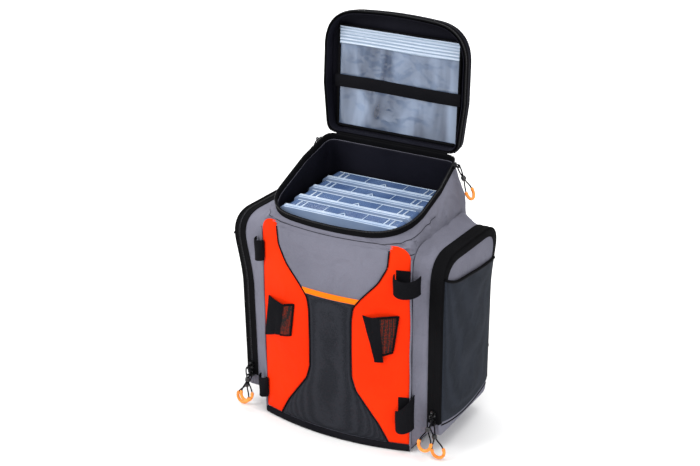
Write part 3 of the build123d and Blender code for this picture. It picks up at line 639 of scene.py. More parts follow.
loops = {
    "rod_loop_upper_right": (1, ((0.1255, -0.1268), (0.1255, -0.1520), (0.1710, -0.1520), (0.1670, -0.110)), (0.322, 0.318), (0.354, 0.352), 0.003),
    "rod_loop_upper_left": (-1, ((0.144, -0.1185), (0.148, -0.129), (0.166, -0.126), (0.1665, -0.108)), (0.318, 0.316), (0.358, 0.356), 0.001),
    "rod_loop_lower_right": (1, ((0.1300, -0.1258), (0.1310, -0.1460), (0.1590, -0.1440), (0.1575, -0.112)), (0.052, 0.050), (0.086, 0.118), 0.004),
    "rod_loop_lower_left": (-1, ((0.144, -0.1185), (0.148, -0.129), (0.166, -0.126), (0.1665, -0.108)), (0.038, 0.036), (0.078, 0.076), 0.001),
}
for name, (side, plan, low, high, slouch) in loops.items():
    band = loop_band(name, side, plan, low, high, slouch)
    finish_piece(band, webbing, "pack", "black_fabric", "rod_loops")
# Dark sheets in the webbing's colour lie inside each rod loop, over the orange panel: painted shade where the loop
# shadows the panel.
for name, side, x0, x1, z0, z1 in (
    ("upper_right", 1, 0.1262, 0.1500, 0.322, 0.360),
    ("lower_right", 1, 0.1310, 0.1500, 0.052, 0.112),
    ("upper_left", -1, 0.1440, 0.1500, 0.320, 0.356),
    ("lower_left", -1, 0.1440, 0.1500, 0.040, 0.076),
):
    painted_shade_place = lambda u, v, side=side, x0=x0, x1=x1, z0=z0, z1=z1: Vector((side * mix(x0, x1, u), front_y(mix(x0, x1, u), 0.0040), mix(z0, z1, v)))
    painted_shade_sheet = shaped_sheet(f"loop_painted_shade_{name}", 10, 10, painted_shade_place, thick=0.0009, offset=0.0)
    finish_piece(painted_shade_sheet, webbing, "pack", "black_fabric")

# --- Tool sheaths ---------------------------------------------------------------------------------
# Two tapered sleeves for pliers are sewn on the orange panels: a folded black strip down the middle,
# with a wing of open mesh bound in black tape at its outer side.

# The holes take the colour of the orange panel behind the wing, darkened as painted shade where the wing shadows it.
mesh_over_shaded_orange = mesh_material("open_black_mesh_shaded_orange", (0.020, 0.018, 0.018), (0.22, 0.020, 0.008), 0.0030)


def facet(name, corners, proud, material, cols=16, rows=22, thick=0.0012):
    """A sewn piece on the bowed front from four corners in X and Z, each with its own stand-off."""
    (a, pa), (b, pb), (c, pc), (d, pd) = zip([Vector((x, 0, z)) for x, z in corners], proud)

    def place(u, v):
        p = a.lerp(b, u).lerp(d.lerp(c, u), v)
        rise = mix(mix(pa, pb, u), mix(pd, pc, u), v) + 0.0007 * sin(pi * u) + creases(p, 45.0, 0.0006)
        return Vector((p.x, front_y(p.x, rise), p.z))

    piece = shaped_sheet(name, cols, rows, place, thick=thick, offset=-1.0, smooth=60)
    return finish_piece(piece, material, "pack", "black_fabric")


sheath_parts = {
    "left": {
        "strip": (((-0.120, 0.178), (-0.147, 0.166), (-0.134, 0.252), (-0.108, 0.250)), (0.0055, 0.0040, 0.0045, 0.0110)),
        "fold": (((-0.104, 0.183), (-0.121, 0.178), (-0.109, 0.251), (-0.093, 0.248)), (0.0085, 0.0060, 0.0115, 0.0110)),
        "wing": (((-0.084, 0.187), (-0.105, 0.183), (-0.094, 0.247), (-0.075, 0.251)), (0.0040, 0.0090, 0.0105, 0.0040)),
    },
    "right": {
        "strip": (((0.088, 0.180), (0.104, 0.180), (0.090, 0.265), (0.066, 0.264)), (0.0040, 0.0090, 0.0110, 0.0040)),
        "fold": (((0.091, 0.179), (0.107, 0.180), (0.101, 0.270), (0.085, 0.266)), (0.0100, 0.0090, 0.0125, 0.0125)),
        "wing": (((0.105, 0.194), (0.121, 0.200), (0.131, 0.271), (0.100, 0.268)), (0.0085, 0.0042, 0.0042, 0.0120)),
    },
}
for name, parts in sheath_parts.items():
    for part, (corners, proud) in parts.items():
        piece = facet(f"sheath_{part}_{name}", corners, proud, mesh_over_shaded_orange if part == "wing" else webbing)
        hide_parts(f"tool_sheath_{name}")
    wing, heights = parts["wing"]
    order = (0, 1, 2, 3) if name == "right" else (1, 0, 3, 2)
    rim_points = [(wing[i], heights[i]) for i in (order[0], order[1], order[2], order[3])]
    bound = [Vector((x, front_y(x, h + 0.0006), z)) for (x, z), h in rim_points]

    def bound_path(t, bound=bound):
        s = t * 3
        i = min(int(s), 2)
        return bound[i].lerp(bound[i + 1], s - i)

    tape = tube(f"sheath_binding_{name}", bound_path, 0.0022, 60, sides=8)
    finish_piece(tape, black_tape, "pack", "black_fabric")

# --- Side pockets: gussets ------------------------------------------------------------------------
# Each side pocket is a boxed pocket of grey pack cloth. Its gusset is sewn to the tub at a wide foot,
# draws in to the zip, and sags a little where nothing fills it.


def side_ring(t, y0, y1, z0, z1, top_r, foot_r):
    """A rounded rectangle in Y and Z; t starts at the middle of the foot and runs forwards."""
    s = t if t <= 0.5 else 1 - t
    mid, half = (y0 + y1) / 2, (y1 - y0) / 2
    if s < 0.11:
        p = Vector((s / 0.11 * (half - foot_r), z0))
    elif s < 0.14:
        p = round_corner(Vector((half - foot_r, z0)), Vector((half, z0)), Vector((half, z0 + foot_r)), (s - 0.11) / 0.03)
    elif s < 0.33:
        p = Vector((half, mix(z0 + foot_r, z1 - top_r, (s - 0.14) / 0.19)))
    elif s < 0.41:
        p = round_corner(Vector((half, z1 - top_r)), Vector((half, z1)), Vector((half - top_r, z1)), (s - 0.33) / 0.08)
    else:
        p = Vector((mix(half - top_r, 0, (s - 0.41) / 0.09), z1))
    if t <= 0.5:
        p.x = -p.x
    return mid + p.x, p.y


def flare(side, y, z):
    """How far a pocket's top stands off: most at the front on the left, and at the back on the right."""
    high = 0.25 * max(z - 0.09, 0.0) / 0.29 + 0.75 * ease((z - 0.25) / 0.13)
    back = min(max((y + 0.098) / 0.198, 0.0), 1.0)
    return high * (mix(0.021, 0.007, back) if side < 0 else mix(0.003, 0.012, back))


def pocket_ring(t, side, x, grow=0.0):
    """The pocket's section at a distance x from the middle: wide at the tub, drawn in at the zip."""
    k = min(max((x - 0.1532) / (0.179 - 0.1532), 0.0), 1.0)
    y0, y1 = mix(-0.110, -0.098, k) - grow, mix(0.108, 0.100, k) + grow
    z0, z1 = mix(0.008, 0.035, k) - grow, mix(0.398, 0.384, k) + grow
    y, z = side_ring(t, y0, y1, z0, z1, mix(0.044, 0.050, k) + grow, 0.016 + grow)
    return Vector((side * (x + k * flare(side, y, z)), y, z))


def gusset_shape(side):
    def place(u, v):
        x = mix(0.1525, 0.1906, v)
        p = pocket_ring(u, side, x)
        hollow = sin(pi * min(v / 0.72, 1.0))
        centre = Vector((p.x, 0.0, 0.21))
        inward = (centre - p).normalized()
        drape = creases(Vector((p.x * 1.6, p.y, p.z * 0.55 + side)), 19.0, 0.0042)
        pinch = 0.0022 * exp(-((p.z - 0.085) / 0.03) ** 2) + 0.0016 * exp(-((p.z - 0.30) / 0.05) ** 2)
        return p + inward * hollow * (0.0016 + abs(drape) + pinch)

    return place


for name, side in (("left", -1), ("right", 1)):
    gusset = shaped_sheet(f"grey_gusset_{name}", 210, 26, gusset_shape(side), thick=0.0022, offset=-1.0 if side > 0 else -1.0, joined=True)
    finish_piece(gusset, grey_cloth, "pack", "grey_fabric", f"pocket_gusset_{name}")

# --- Side pockets: zips ---------------------------------------------------------------------------
# A broad black zip runs up the front of each pocket, over the top and down the back. One tape is sewn
# to the gusset and the other to the pocket's door, each with its own row of teeth.

ZIP_START, ZIP_END = 0.148, 0.852


def zip_tape_shape(side, x0, x1, lift=0.0013):
    def place(u, v):
        t = mix(ZIP_START, ZIP_END, u)
        fold = 0.0007 * exp(-((v - 0.08) / 0.08) ** 2) + 0.0006 * exp(-((v - 0.92) / 0.07) ** 2)
        return pocket_ring(t, side, mix(x0, x1, v), lift + fold - 0.0004)

    return place


for name, side in (("left", -1), ("right", 1)):
    root_tape = shaped_sheet(f"gusset_zip_tape_{name}", 170, 12, zip_tape_shape(side, 0.1785, 0.1904), thick=0.0014, offset=-1.0)
    finish_piece(root_tape, black_tape, "pack", "black_fabric", "pocket_zip_tapes")
    door_tape = shaped_sheet(f"door_zip_band_{name}", 170, 12, zip_tape_shape(side, 0.1916, 0.2015), thick=0.0014, offset=-1.0)
    finish_piece(door_tape, black_tape, f"door_{name}", "black_fabric", f"door_zip_tape_{name}")
    for half, x, body in (("gusset", 0.1898, "pack"), ("door", 0.1922, f"door_{name}")):
        row = lambda t, x=x, side=side: pocket_ring(mix(ZIP_START, ZIP_END, t), side, x, 0.0009)
        teeth = tube(f"{half}_zip_teeth_{name}", row, 0.0008, 240, sides=6)
        finish_piece(teeth, zip_teeth, body, "black_fabric")

# --- Side pockets: doors --------------------------------------------------------------------------
# The outer face of each pocket is a soft door of grey cloth, rounded to its rim. It folds down on its
# lower edge. A mesh pocket with a bound top edge is sewn over most of it, above a line of piping.


def door_outline(t, side, x, grow):
    y, z = side_ring(t, -0.098 - grow, 0.100 + grow, 0.035 - grow, 0.384 + grow, 0.050 + grow, 0.016 + max(grow, -0.010))
    return Vector((side * (x + flare(side, y, z)), y, z))


def door_face_x(side, y, z):
    """The face slumps: full in the middle, drawn back towards the top and the foot."""
    fy = min(max((y + 0.098) / 0.198, 0), 1)
    fz = min(max((z - 0.035) / 0.349, 0), 1)
    full = sin(pi * fy) ** 0.6 * sin(pi * fz) ** 0.5
    return 0.2015 + 0.0050 * full + flare(side, y, z)


def door_shape(side):
    def place(u, v):
        if v < 0.25:
            return door_outline(u, side, mix(0.1914, 0.1990, v / 0.25), 0.0)
        if v < 0.45:
            t = (v - 0.25) / 0.20
            p = door_outline(u, side, 0.199, -0.006 * (1 - cos(pi / 2 * t)))
            p.x = side * mix(0.199 + flare(side, p.y, p.z), door_face_x(side, p.y, p.z), sin(pi / 2 * t))
            return p
        t = (v - 0.45) / 0.55
        rim = door_outline(u, side, 0.199, -0.006)
        p = rim.lerp(Vector((side * 0.2, 0.001, 0.2095)), t)
        soft = creases(Vector((side, p.y, p.z)), 15.0, 0.0016) * ease(t * 5)
        p.x = side * (door_face_x(side, p.y, p.z) + soft)
        return p

    return place


def door_edge(side):
    """The zip's outer tape rolls over the door's edge, along the zip."""

    def place(u, v):
        t = mix(ZIP_START, ZIP_END, u)
        p = door_shape(side)(t, mix(0.20, 0.475, v))
        spread = (Vector((p.x, 0.001, 0.2095)) - p).normalized() * (1 - v)
        return p - spread * 0.0008 + Vector((side * 0.0009 * v, 0, 0))

    return place


side_mesh = mesh_material("slate_pocket_mesh", (0.026, 0.031, 0.043), (0.008, 0.010, 0.015), 0.0026)


def mesh_top_z(y):
    return 0.3245 - 0.0095 * (y / 0.095) + 0.013 * max(0.0, -(y + 0.045) / 0.05) ** 2


def mesh_low_z(y):
    return 0.0505 + 0.012 * ((y - 0.01) / 0.09) ** 2


def mesh_shape(side):
    def place(u, v):
        y = mix(-0.0945, 0.0965, u)
        z = mix(mesh_low_z(y), mesh_top_z(y), v)
        sewn = min(1.0, sin(pi * u) ** 0.35) * ease(v * 10)
        lifted = 0.0006 + 0.0032 * sewn * (0.35 + 0.65 * v)
        loose = creases(Vector((side * 2.0, y, z)), 17.0, 0.0012) * sewn
        return Vector((side * (door_face_x(side, y, z) + lifted + max(loose, -lifted + 0.0005) + 0.0005), y, z))

    return place


for name, side in (("left", -1), ("right", 1)):
    door = shaped_sheet(f"grey_door_{name}", 150, 46, door_shape(side), thick=0.0020, offset=-1.0, joined=True)
    finish_piece(door, grey_cloth, f"door_{name}", "grey_fabric", f"pocket_door_{name}")
    net = shaped_sheet(f"side_mesh_{name}", 70, 90, mesh_shape(side), thick=0.0008, offset=0.0)
    finish_piece(net, side_mesh, f"door_{name}", "dark_mesh", f"mesh_pocket_{name}")

    def hem(t, side=side):
        return mesh_shape(side)(t, 1.0) + Vector((side * 0.0004, 0, 0))

    def foot_piping(t, side=side):
        y = mix(-0.0925, 0.0945, t)
        z = mesh_low_z(y) - 0.0065
        return Vector((side * (door_face_x(side, y, z) + 0.0004), y, z))

    def mesh_edge(t, side=side):
        y = mix(-0.0945, 0.0965, t)
        z = mesh_low_z(y)
        return Vector((side * (door_face_x(side, y, z) + 0.0008), y, z))

    bound_hem = tube(f"mesh_hem_{name}", hem, 0.0026, 90, sides=10)
    finish_piece(bound_hem, black_tape, f"door_{name}", "black_fabric")
    edge_tape = shaped_sheet(f"door_edge_tape_{name}", 150, 8, door_edge(side), thick=0.0012, offset=0.0)
    finish_piece(edge_tape, black_tape, f"door_{name}", "black_fabric")
    cord_seam = tube(f"door_piping_{name}", foot_piping, 0.0013, 90, sides=8)
    finish_piece(cord_seam, black_tape, f"door_{name}", "black_fabric")

# --- Lid ------------------------------------------------------------------------------------------
# The lid is a shallow pan of black cloth with a grey top, open here, so that its black lining shows.
# Its own zip tape runs round the rim. It turns on the seam at the back of the opening.

lid_pad = mesh_material("black_lid_lining", (0.030, 0.031, 0.038), (0.012, 0.012, 0.016), 0.0024)


def lid_side(u, v):
    """Zip tape's foot, side wall and rounded back edge, then the back to its middle."""
    if v < 0.4:
        return on_lid(u, mix(0.0100, 0.0255, v / 0.4), 0.0006 * sin(pi * v / 0.4))
    if v < 0.6:
        t = (v - 0.4) / 0.2
        return on_lid(u, 0.0255 + 0.0065 * sin(pi / 2 * t), 0.0085 * (1 - cos(pi / 2 * t)))
    t = (v - 0.6) / 0.4
    middle = HINGE + Vector((0, 0.119 * sin(LEAN) + 0.033 * cos(LEAN), 0.119 * cos(LEAN) - 0.033 * sin(LEAN)))
    p = on_lid(u, 0.032, 0.0085).lerp(middle, t)
    return p + Vector((0, 0.0012 * ease(t * 4) + creases(p, 14.0, 0.0012) * ease(t * 5), 0))


lid_cloth = shaped_sheet("lid_pan", 200, 46, lid_side, thick=0.0022, offset=-1.0, joined=True)
finish_piece(lid_cloth, grey_cloth, "lid", "grey_fabric", "lid_shell")
lid_cloth.data.materials.append(black_nylon)
for face in lid_cloth.data.polygons:
    middle = face.center - HINGE
    depth = middle.y * cos(LEAN) - middle.z * sin(LEAN)
    face.material_index = 1 if depth < 0.0300 else 0

lid_tape = shaped_sheet("lid_zip_band", 220, 14, lambda u, v: on_lid(u, mix(0.0006, 0.0118, v), -tape_profile(1 - v)), thick=0.0026, offset=-1.0, joined=True)
finish_piece(lid_tape, black_tape, "lid", "black_fabric", "lid_zip_tape")
lid_teeth = tube("lid_zip_teeth", lambda t: on_lid(mix(0.112, 0.888, t), 0.0026, -0.0012), 0.0014, 260, joined=False)
finish_piece(lid_teeth, zip_teeth, "lid", "black_fabric")


def lid_lining_shape(u, v):
    if v < 0.35:
        t = v / 0.35
        return on_lid(u, mix(0.0008, 0.0240, t), 0.0040 + 0.0022 * sin(pi * t))
    t = (v - 0.35) / 0.65
    middle = HINGE + Vector((0, 0.119 * sin(LEAN) + 0.0262 * cos(LEAN), 0.119 * cos(LEAN) - 0.0262 * sin(LEAN)))
    corner = on_lid(u, 0.0262, 0.0052 + 0.0040 * ease(t * 6))
    p = corner.lerp(middle, t)
    return p - Vector((0, 0.0005 * ease(t * 8), 0))


lid_lining = shaped_sheet("lid_lining_cloth", 160, 40, lid_lining_shape, joined=True)
bpy.ops.object.mode_set(mode="EDIT")
bpy.ops.mesh.select_all(action="SELECT")
bpy.ops.mesh.flip_normals()
bpy.ops.object.mode_set(mode="OBJECT")
wall = lid_lining.modifiers.new("cloth", "SOLIDIFY")
wall.thickness = 0.0012
wall.offset = -1.0
bpy.ops.object.modifier_apply(modifier="cloth")
finish_piece(lid_lining, black_nylon, "lid", "lining", "lid_lining")


def lid_point(x, up, depth):
    return HINGE + Vector((x, up * sin(LEAN) + depth * cos(LEAN), up * cos(LEAN) - depth * sin(LEAN)))


# --- Clear pocket in the lid ----------------------------------------------------------------------
# A slack pocket of clear vinyl is sewn over the lining and bound in black tape. Its mouth at the top
# shuts with a pressed zip of moulded ridges, and a black elastic band is stretched across it.


def vinyl_material():
    material = bpy.data.materials.new("soft_clear_vinyl")
    material.use_nodes = True
    nodes, links = material.node_tree.nodes, material.node_tree.links
    shader = nodes["Principled BSDF"]
    where = nodes.new("ShaderNodeTexCoord")
    cloud = nodes.new("ShaderNodeTexNoise")
    cloud.inputs["Scale"].default_value = 7.0
    cloud.inputs["Detail"].default_value = 2.5
    cloud.inputs["Distortion"].default_value = 0.6
    turn = nodes.new("ShaderNodeMapping")
    turn.inputs["Rotation"].default_value = (0, radians(38), 0)
    turn.inputs["Scale"].default_value = (2.6, 1.0, 0.8)
    links.new(where.outputs["Object"], turn.inputs["Vector"])
    links.new(turn.outputs["Vector"], cloud.inputs["Vector"])
    tint = nodes.new("ShaderNodeValToRGB")
    tint.color_ramp.elements[0].position = 0.32
    tint.color_ramp.elements[0].color = (0.024, 0.038, 0.078, 1)
    tint.color_ramp.elements[1].position = 0.68
    tint.color_ramp.elements[1].color = (0.25, 0.32, 0.45, 1)
    links.new(cloud.outputs[0], tint.inputs["Fac"])
    links.new(tint.outputs["Color"], shader.inputs["Base Color"])
    ripple = nodes.new("ShaderNodeBump")
    ripple.inputs["Distance"].default_value = 0.006
    ripple.inputs["Strength"].default_value = 0.5
    links.new(cloud.outputs[0], ripple.inputs["Height"])
    links.new(ripple.outputs["Normal"], shader.inputs["Normal"])
    shader.inputs["Roughness"].default_value = 0.16
    shader.inputs["Alpha"].default_value = 0.88
    shader.inputs["Coat Weight"].default_value = 0.6
    shader.inputs["Coat Roughness"].default_value = 0.08
    return material


vinyl = vinyl_material()
VINYL_LOW, VINYL_HIGH, VINYL_HALF = 0.013, 0.199, 0.121


def vinyl_shape(u, v):
    x = mix(-VINYL_HALF, VINYL_HALF, u)
    up = mix(VINYL_LOW, VINYL_HIGH, v)
    slack = sin(pi * u) ** 0.5 * min(1, 4 * v) * min(1, 4 * (1 - v))
    p = Vector((x, 0.7, up))
    fold = creases(p, 12.0, 0.0030) + creases(p + Vector((x * 1.2, 0, up * 0.7)), 26.0, 0.0012)
    return lid_point(x, up, 0.0222 - slack * (0.0018 + fold))


window = shaped_sheet("vinyl_window", 110, 90, vinyl_shape, thick=0.0006, offset=0.0, smooth=80)
finish_piece(window, vinyl, "lid", "vinyl", "vinyl_pocket")


def ridged_strip():
    material = bpy.data.materials.new("pressed_zip_strip")
    material.use_nodes = True
    shader = material.node_tree.nodes["Principled BSDF"]
    nodes, links = material.node_tree.nodes, material.node_tree.links
    where = nodes.new("ShaderNodeTexCoord")
    lines = nodes.new("ShaderNodeTexWave")
    lines.bands_direction = "Z"
    lines.inputs["Scale"].default_value = 55.0
    links.new(where.outputs["Object"], lines.inputs["Vector"])
    tint = nodes.new("ShaderNodeValToRGB")
    tint.color_ramp.elements[0].color = (0.21, 0.28, 0.38, 1)
    tint.color_ramp.elements[1].color = (0.46, 0.54, 0.66, 1)
    links.new(lines.outputs[0], tint.inputs["Fac"])
    links.new(tint.outputs["Color"], shader.inputs["Base Color"])
    shader.inputs["Roughness"].default_value = 0.25
    shader.inputs["Coat Weight"].default_value = 0.3
    return material


strip_plastic = ridged_strip()


def track_shape(u, v):
    x = mix(-0.1205, 0.1205, u)
    ridge = max(0.0, sin(2 * pi * 5 * v)) ** 2 * 0.0011
    bow = 0.0010 * sin(pi * u * 2.2)
    return lid_point(x, mix(0.166, 0.199, v) + bow, 0.0198 - ridge)


track = shaped_sheet("pressed_zip_track", 60, 60, track_shape, thick=0.0008, offset=0.0, smooth=40)
finish_piece(track, strip_plastic, "lid", "vinyl")


def elastic_shape(u, v):
    x = mix(-0.1275, 0.1275, u)
    edge = 0.0012 * sin(pi * v)
    pull = 0.0016 * sin(pi * u)
    return lid_point(x, mix(0.0850, 0.1080, v) + 0.0008 * sin(6 * u), 0.0176 - edge + pull)


elastic_cloth = cloth_material("ribbed_elastic", (0.008, 0.008, 0.010), (0.003, 0.003, 0.004), rough=0.7, threads=2200.0, bump=0.7, sheen=0.0)
elastic = shaped_sheet("elastic_strap", 60, 12, elastic_shape, thick=0.0014, offset=0.0)
finish_piece(elastic, elastic_cloth, "lid", "elastic", "elastic_band")

frame_corners = [(-0.1225, 0.0115), (0.1225, 0.0115), (0.1225, 0.2005), (-0.1225, 0.2005), (-0.1225, 0.0115)]


def binding_path(t):
    s = t * 4
    i = min(int(s), 3)
    a, b = frame_corners[i], frame_corners[i + 1]
    k = s - i
    return lid_point(mix(a[0], b[0], k), mix(a[1], b[1], k), 0.0208)


binding = tube("vinyl_binding", binding_path, 0.0026, 160, sides=8)
finish_piece(binding, black_tape, "lid", "black_fabric")

# --- Hinge seam -----------------------------------------------------------------------------------
# A strip of black tape joins the lid's rim to the back of the opening and folds where the lid turns.


def hinge_fold(u, v):
    run = mix(-0.012, 0.012, v)
    round_off = 0.0022 * exp(-((run / 0.004) ** 2))
    if run < 0:
        return HINGE + Vector((mix(-0.114, 0.114, u), 0.0030 - round_off, run - 0.0004))
    return HINGE + Vector((mix(-0.114, 0.114, u), 0.0030 - round_off + run, -0.0004 + round_off * 0.2))


hinge_tape = shaped_sheet("hinge_tape", 60, 16, hinge_fold, thick=0.0010, offset=0.0)
hinge_tape.data.materials.append(black_tape)
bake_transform(hinge_tape)

# --- Utility boxes --------------------------------------------------------------------------------
# Clear moulded boxes stand on their short ends. Each has a tray with dividers and a lid, and along the
# end that shows it has a stout rim, paired ribs near the corners and a small latch in the middle.


def clear_material(name, deep, pale, alpha, rough=0.18):
    material = bpy.data.materials.new(name)
    material.use_nodes = True
    nodes, links = material.node_tree.nodes, material.node_tree.links
    shader = nodes["Principled BSDF"]
    where = nodes.new("ShaderNodeTexCoord")
    flow = nodes.new("ShaderNodeTexNoise")
    flow.inputs["Scale"].default_value = 14.0
    flow.inputs["Detail"].default_value = 1.5
    links.new(where.outputs["Object"], flow.inputs["Vector"])
    tint = nodes.new("ShaderNodeValToRGB")
    tint.color_ramp.elements[0].position = 0.35
    tint.color_ramp.elements[0].color = (*deep, 1)
    tint.color_ramp.elements[1].position = 0.65
    tint.color_ramp.elements[1].color = (*pale, 1)
    links.new(flow.outputs[0], tint.inputs["Fac"])
    links.new(tint.outputs["Color"], shader.inputs["Base Color"])
    shader.inputs["Roughness"].default_value = rough
    shader.inputs["Alpha"].default_value = alpha
    shader.inputs["Coat Weight"].default_value = 0.4
    shader.inputs["Coat Roughness"].default_value = 0.1
    return material


clear_tray = clear_material("clear_tray_plastic", (0.060, 0.115, 0.27), (0.13, 0.21, 0.40), 0.70)
clear_lid = clear_material("clear_lid_plastic", (0.24, 0.34, 0.54), (0.33, 0.43, 0.62), 0.70)
# A much paler copy of the clear plastic for the rims, ribs, dividers and latch: the moulding is real, and its paleness
# is a painted highlight.
rim_highlight_plastic = clear_material("clear_plastic_painted_highlight", (0.52, 0.65, 0.81), (0.70, 0.80, 0.92), 0.85)


def bar(name, low, high, soft=0.0006):
    """A moulded rib: a block between two corners, with its edges rolled over."""
    bpy.ops.object.select_all(action="DESELECT")
    low, high = Vector(low), Vector(high)
    bpy.ops.mesh.primitive_cube_add(size=1, location=(low + high) / 2)
    rib = bpy.context.object
    rib.name = name
    rib.scale = high - low
    bpy.ops.object.transform_apply(location=True, rotation=False, scale=True)
    bpy.ops.object.mode_set(mode="EDIT")
    bpy.ops.mesh.bevel(offset=soft, segments=2)
    bpy.ops.object.mode_set(mode="OBJECT")
    return rib


def join_as(name, parts):
    bpy.ops.object.select_all(action="DESELECT")
    for part in parts:
        part.select_set(True)
    bpy.context.view_layer.objects.active = parts[0]
    bpy.ops.object.join()
    joined = bpy.context.object
    joined.name = name
    bpy.ops.object.transform_apply(location=True, rotation=True, scale=True)
    bpy.ops.object.shade_smooth_by_angle(angle=radians(40))
    return joined


for k in range(1, 5):
    for node, plastic in ((f"box_tray_{k}", clear_tray), (f"box_lid_{k}", clear_lid)):
        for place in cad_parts[node].material_slots:
            place.material = plastic
    low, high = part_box(f"box_lid_{k}")
    tray_low, tray_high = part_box(f"box_tray_{k}")
    top = high[2]
    seam = high[1]
    back = tray_high[1]
    left, right = low[0], high[0]
    middle = (left + right) / 2
    parts = [
        bar("rim", (left + 0.006, seam - 0.0036, top - 0.0022), (right - 0.006, seam - 0.0014, top + 0.0006)),
        bar("rim", (left + 0.006, seam + 0.0004, top - 0.0022), (right - 0.006, seam + 0.0024, top + 0.0006)),
        bar("rim", (left + 0.010, low[1] + 0.0002, top - 0.0012), (right - 0.010, low[1] + 0.0018, top + 0.0004)),
        bar("rim", (left + 0.012, back - 0.0022, top - 0.0040), (right - 0.012, back - 0.0004, top - 0.0024)),
    ]
    for x in (left + 0.024, left + 0.035, right - 0.024, right - 0.035):
        parts.append(bar("rib", (x - 0.0011, seam + 0.0020, top - 0.0036), (x + 0.0011, back - 0.0060, top - 0.0016)))
    for x in (left + 0.078, right - 0.078):
        parts.append(bar("divider", (x - 0.0006, seam + 0.0020, top - 0.0034), (x + 0.0006, back - 0.0030, top - 0.0026), 0.0002))
    for lean in (-1, 1):
        bpy.ops.object.select_all(action="DESELECT")
        latch = bar("latch", (-0.0008, -0.0075, -0.0008), (0.0008, 0.0075, 0.0008), 0.0003)
        latch.rotation_euler = (0, 0, lean * 0.55)
        latch.location = (middle + lean * 0.0040, seam + 0.0100, top - 0.0022)
        bpy.ops.object.transform_apply(location=True, rotation=True, scale=True)
        parts.append(latch)
    ribs = join_as(f"box_ribs_{k}", parts)
    finish_piece(ribs, rim_highlight_plastic, f"box_{k}", "clear_plastic")

# --- Back pad -------------------------------------------------------------------------------------
# A foam pad in dark mesh lies against the wearer's back. It is blown up as cloth over its foam, so
# its face crowns and its edge pulls in.

spacer_mesh = mesh_material("dark_spacer_mesh", (0.026, 0.028, 0.034), (0.008, 0.009, 0.012), 0.0030)
low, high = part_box("back_pad")
bpy.ops.object.select_all(action="DESELECT")
bpy.ops.mesh.primitive_cube_add(size=1, location=((low[0] + high[0]) / 2, (low[1] + high[1]) / 2, (low[2] + high[2]) / 2))
back_pad = bpy.context.object
back_pad.name = "back_cushion"
back_pad.scale = (high[0] - low[0] - 0.006, high[1] - low[1] - 0.003, high[2] - low[2] - 0.006)
bpy.ops.object.transform_apply(location=True, rotation=False, scale=True)
corners = back_pad.modifiers.new("round", "BEVEL")
corners.width = 0.004
corners.segments = 2
bpy.ops.object.modifier_apply(modifier="round")
skin = back_pad.modifiers.new("skin", "REMESH")
skin.mode = "VOXEL"
skin.voxel_size = 0.005
bpy.ops.object.modifier_apply(modifier="skin")
before = [v.co.copy() for v in back_pad.data.vertices]
inflate = back_pad.modifiers.new("inflate", "CLOTH")
inflate.settings.use_pressure = True
inflate.settings.uniform_pressure_force = 4.0
inflate.settings.effector_weights.gravity = 0.0
inflate.settings.quality = 5
scene = bpy.context.scene
for step in range(1, 21):
    scene.frame_set(step)
blown = [v.co.copy() for v in back_pad.evaluated_get(bpy.context.evaluated_depsgraph_get()).data.vertices]
back_pad.modifiers.remove(inflate)
scene.frame_set(1)
for vertex, start, end in zip(back_pad.data.vertices, before, blown):
    move = end - start
    if move.length > 0.006:
        move *= 0.006 / move.length
    place = start + move
    place.y = max(place.y, 0.1123)
    vertex.co = place
for vertex in back_pad.data.vertices:
    p = vertex.co
    if p.y > 0.117:
        channel = sum(exp(-(((p.z - z) / 0.007) ** 2)) for z in (0.115, 0.192, 0.269))
        p.y -= 0.0045 * channel
rounding = back_pad.modifiers.new("soft", "SUBSURF")
rounding.levels = 1
rounding.render_levels = 1
bpy.ops.object.modifier_apply(modifier="soft")
bpy.ops.object.shade_smooth_by_angle(angle=radians(60))
finish_piece(back_pad, spacer_mesh, "pack", "dark_mesh", "back_pad")

# --- Shoulder straps ------------------------------------------------------------------------------
# Padded straps are sewn below the handle and curve down to a buckle near the side. Webbing runs from
# the buckle to the lower corner of the back, and each strap's edge is bound.

STRAP_TOP = Vector((0.058, 0.1121, 0.384))
STRAP_RUN = Vector((0.102, 0, -0.266))
STRAP_LENGTH = STRAP_RUN.length
STRAP_ALONG = STRAP_RUN.normalized()
STRAP_ACROSS = STRAP_ALONG.cross(Vector((0, 1, 0)))


def strap_centre(t):
    """The strap's bow away from the back, from its seam to its buckle."""
    off = mix(0.0060, 0.0340, t) + 0.0320 * sin(pi * t)
    return STRAP_TOP + STRAP_ALONG * STRAP_LENGTH * t + Vector((0, off, 0))


def strap_shape(side):
    def place(u, v):
        t = v
        centre = strap_centre(t)
        ahead = (strap_centre(min(t + 0.01, 1)) - strap_centre(max(t - 0.01, 0))).normalized()
        out = STRAP_ACROSS.cross(ahead).normalized()
        if out.y < 0:
            out = -out
        angle = 2 * pi * u
        half = mix(0.0300, 0.0240, ease((t - 0.6) / 0.4)) * (1 if 0.02 < t < 0.98 else 0.96)
        c, s = cos(angle), sin(angle)
        wide = half * (abs(c) ** 0.45) * (1 if c > 0 else -1)
        thick = 0.0052 * (abs(s) ** 0.7) * (1 if s > 0 else -1)
        thick *= 1 - 0.25 * exp(-(((abs(wide) - 0.019) / 0.0025) ** 2))
        end = min(1.0, max(t, 0.0) / 0.015, (1 - t) / 0.015)
        thick *= 0.35 + 0.65 * sqrt(max(min(end, 1.0), 0.0))
        p = centre + STRAP_ACROSS * wide + out * thick
        return Vector((side * p.x, max(p.y, 0.1123), p.z))

    return place


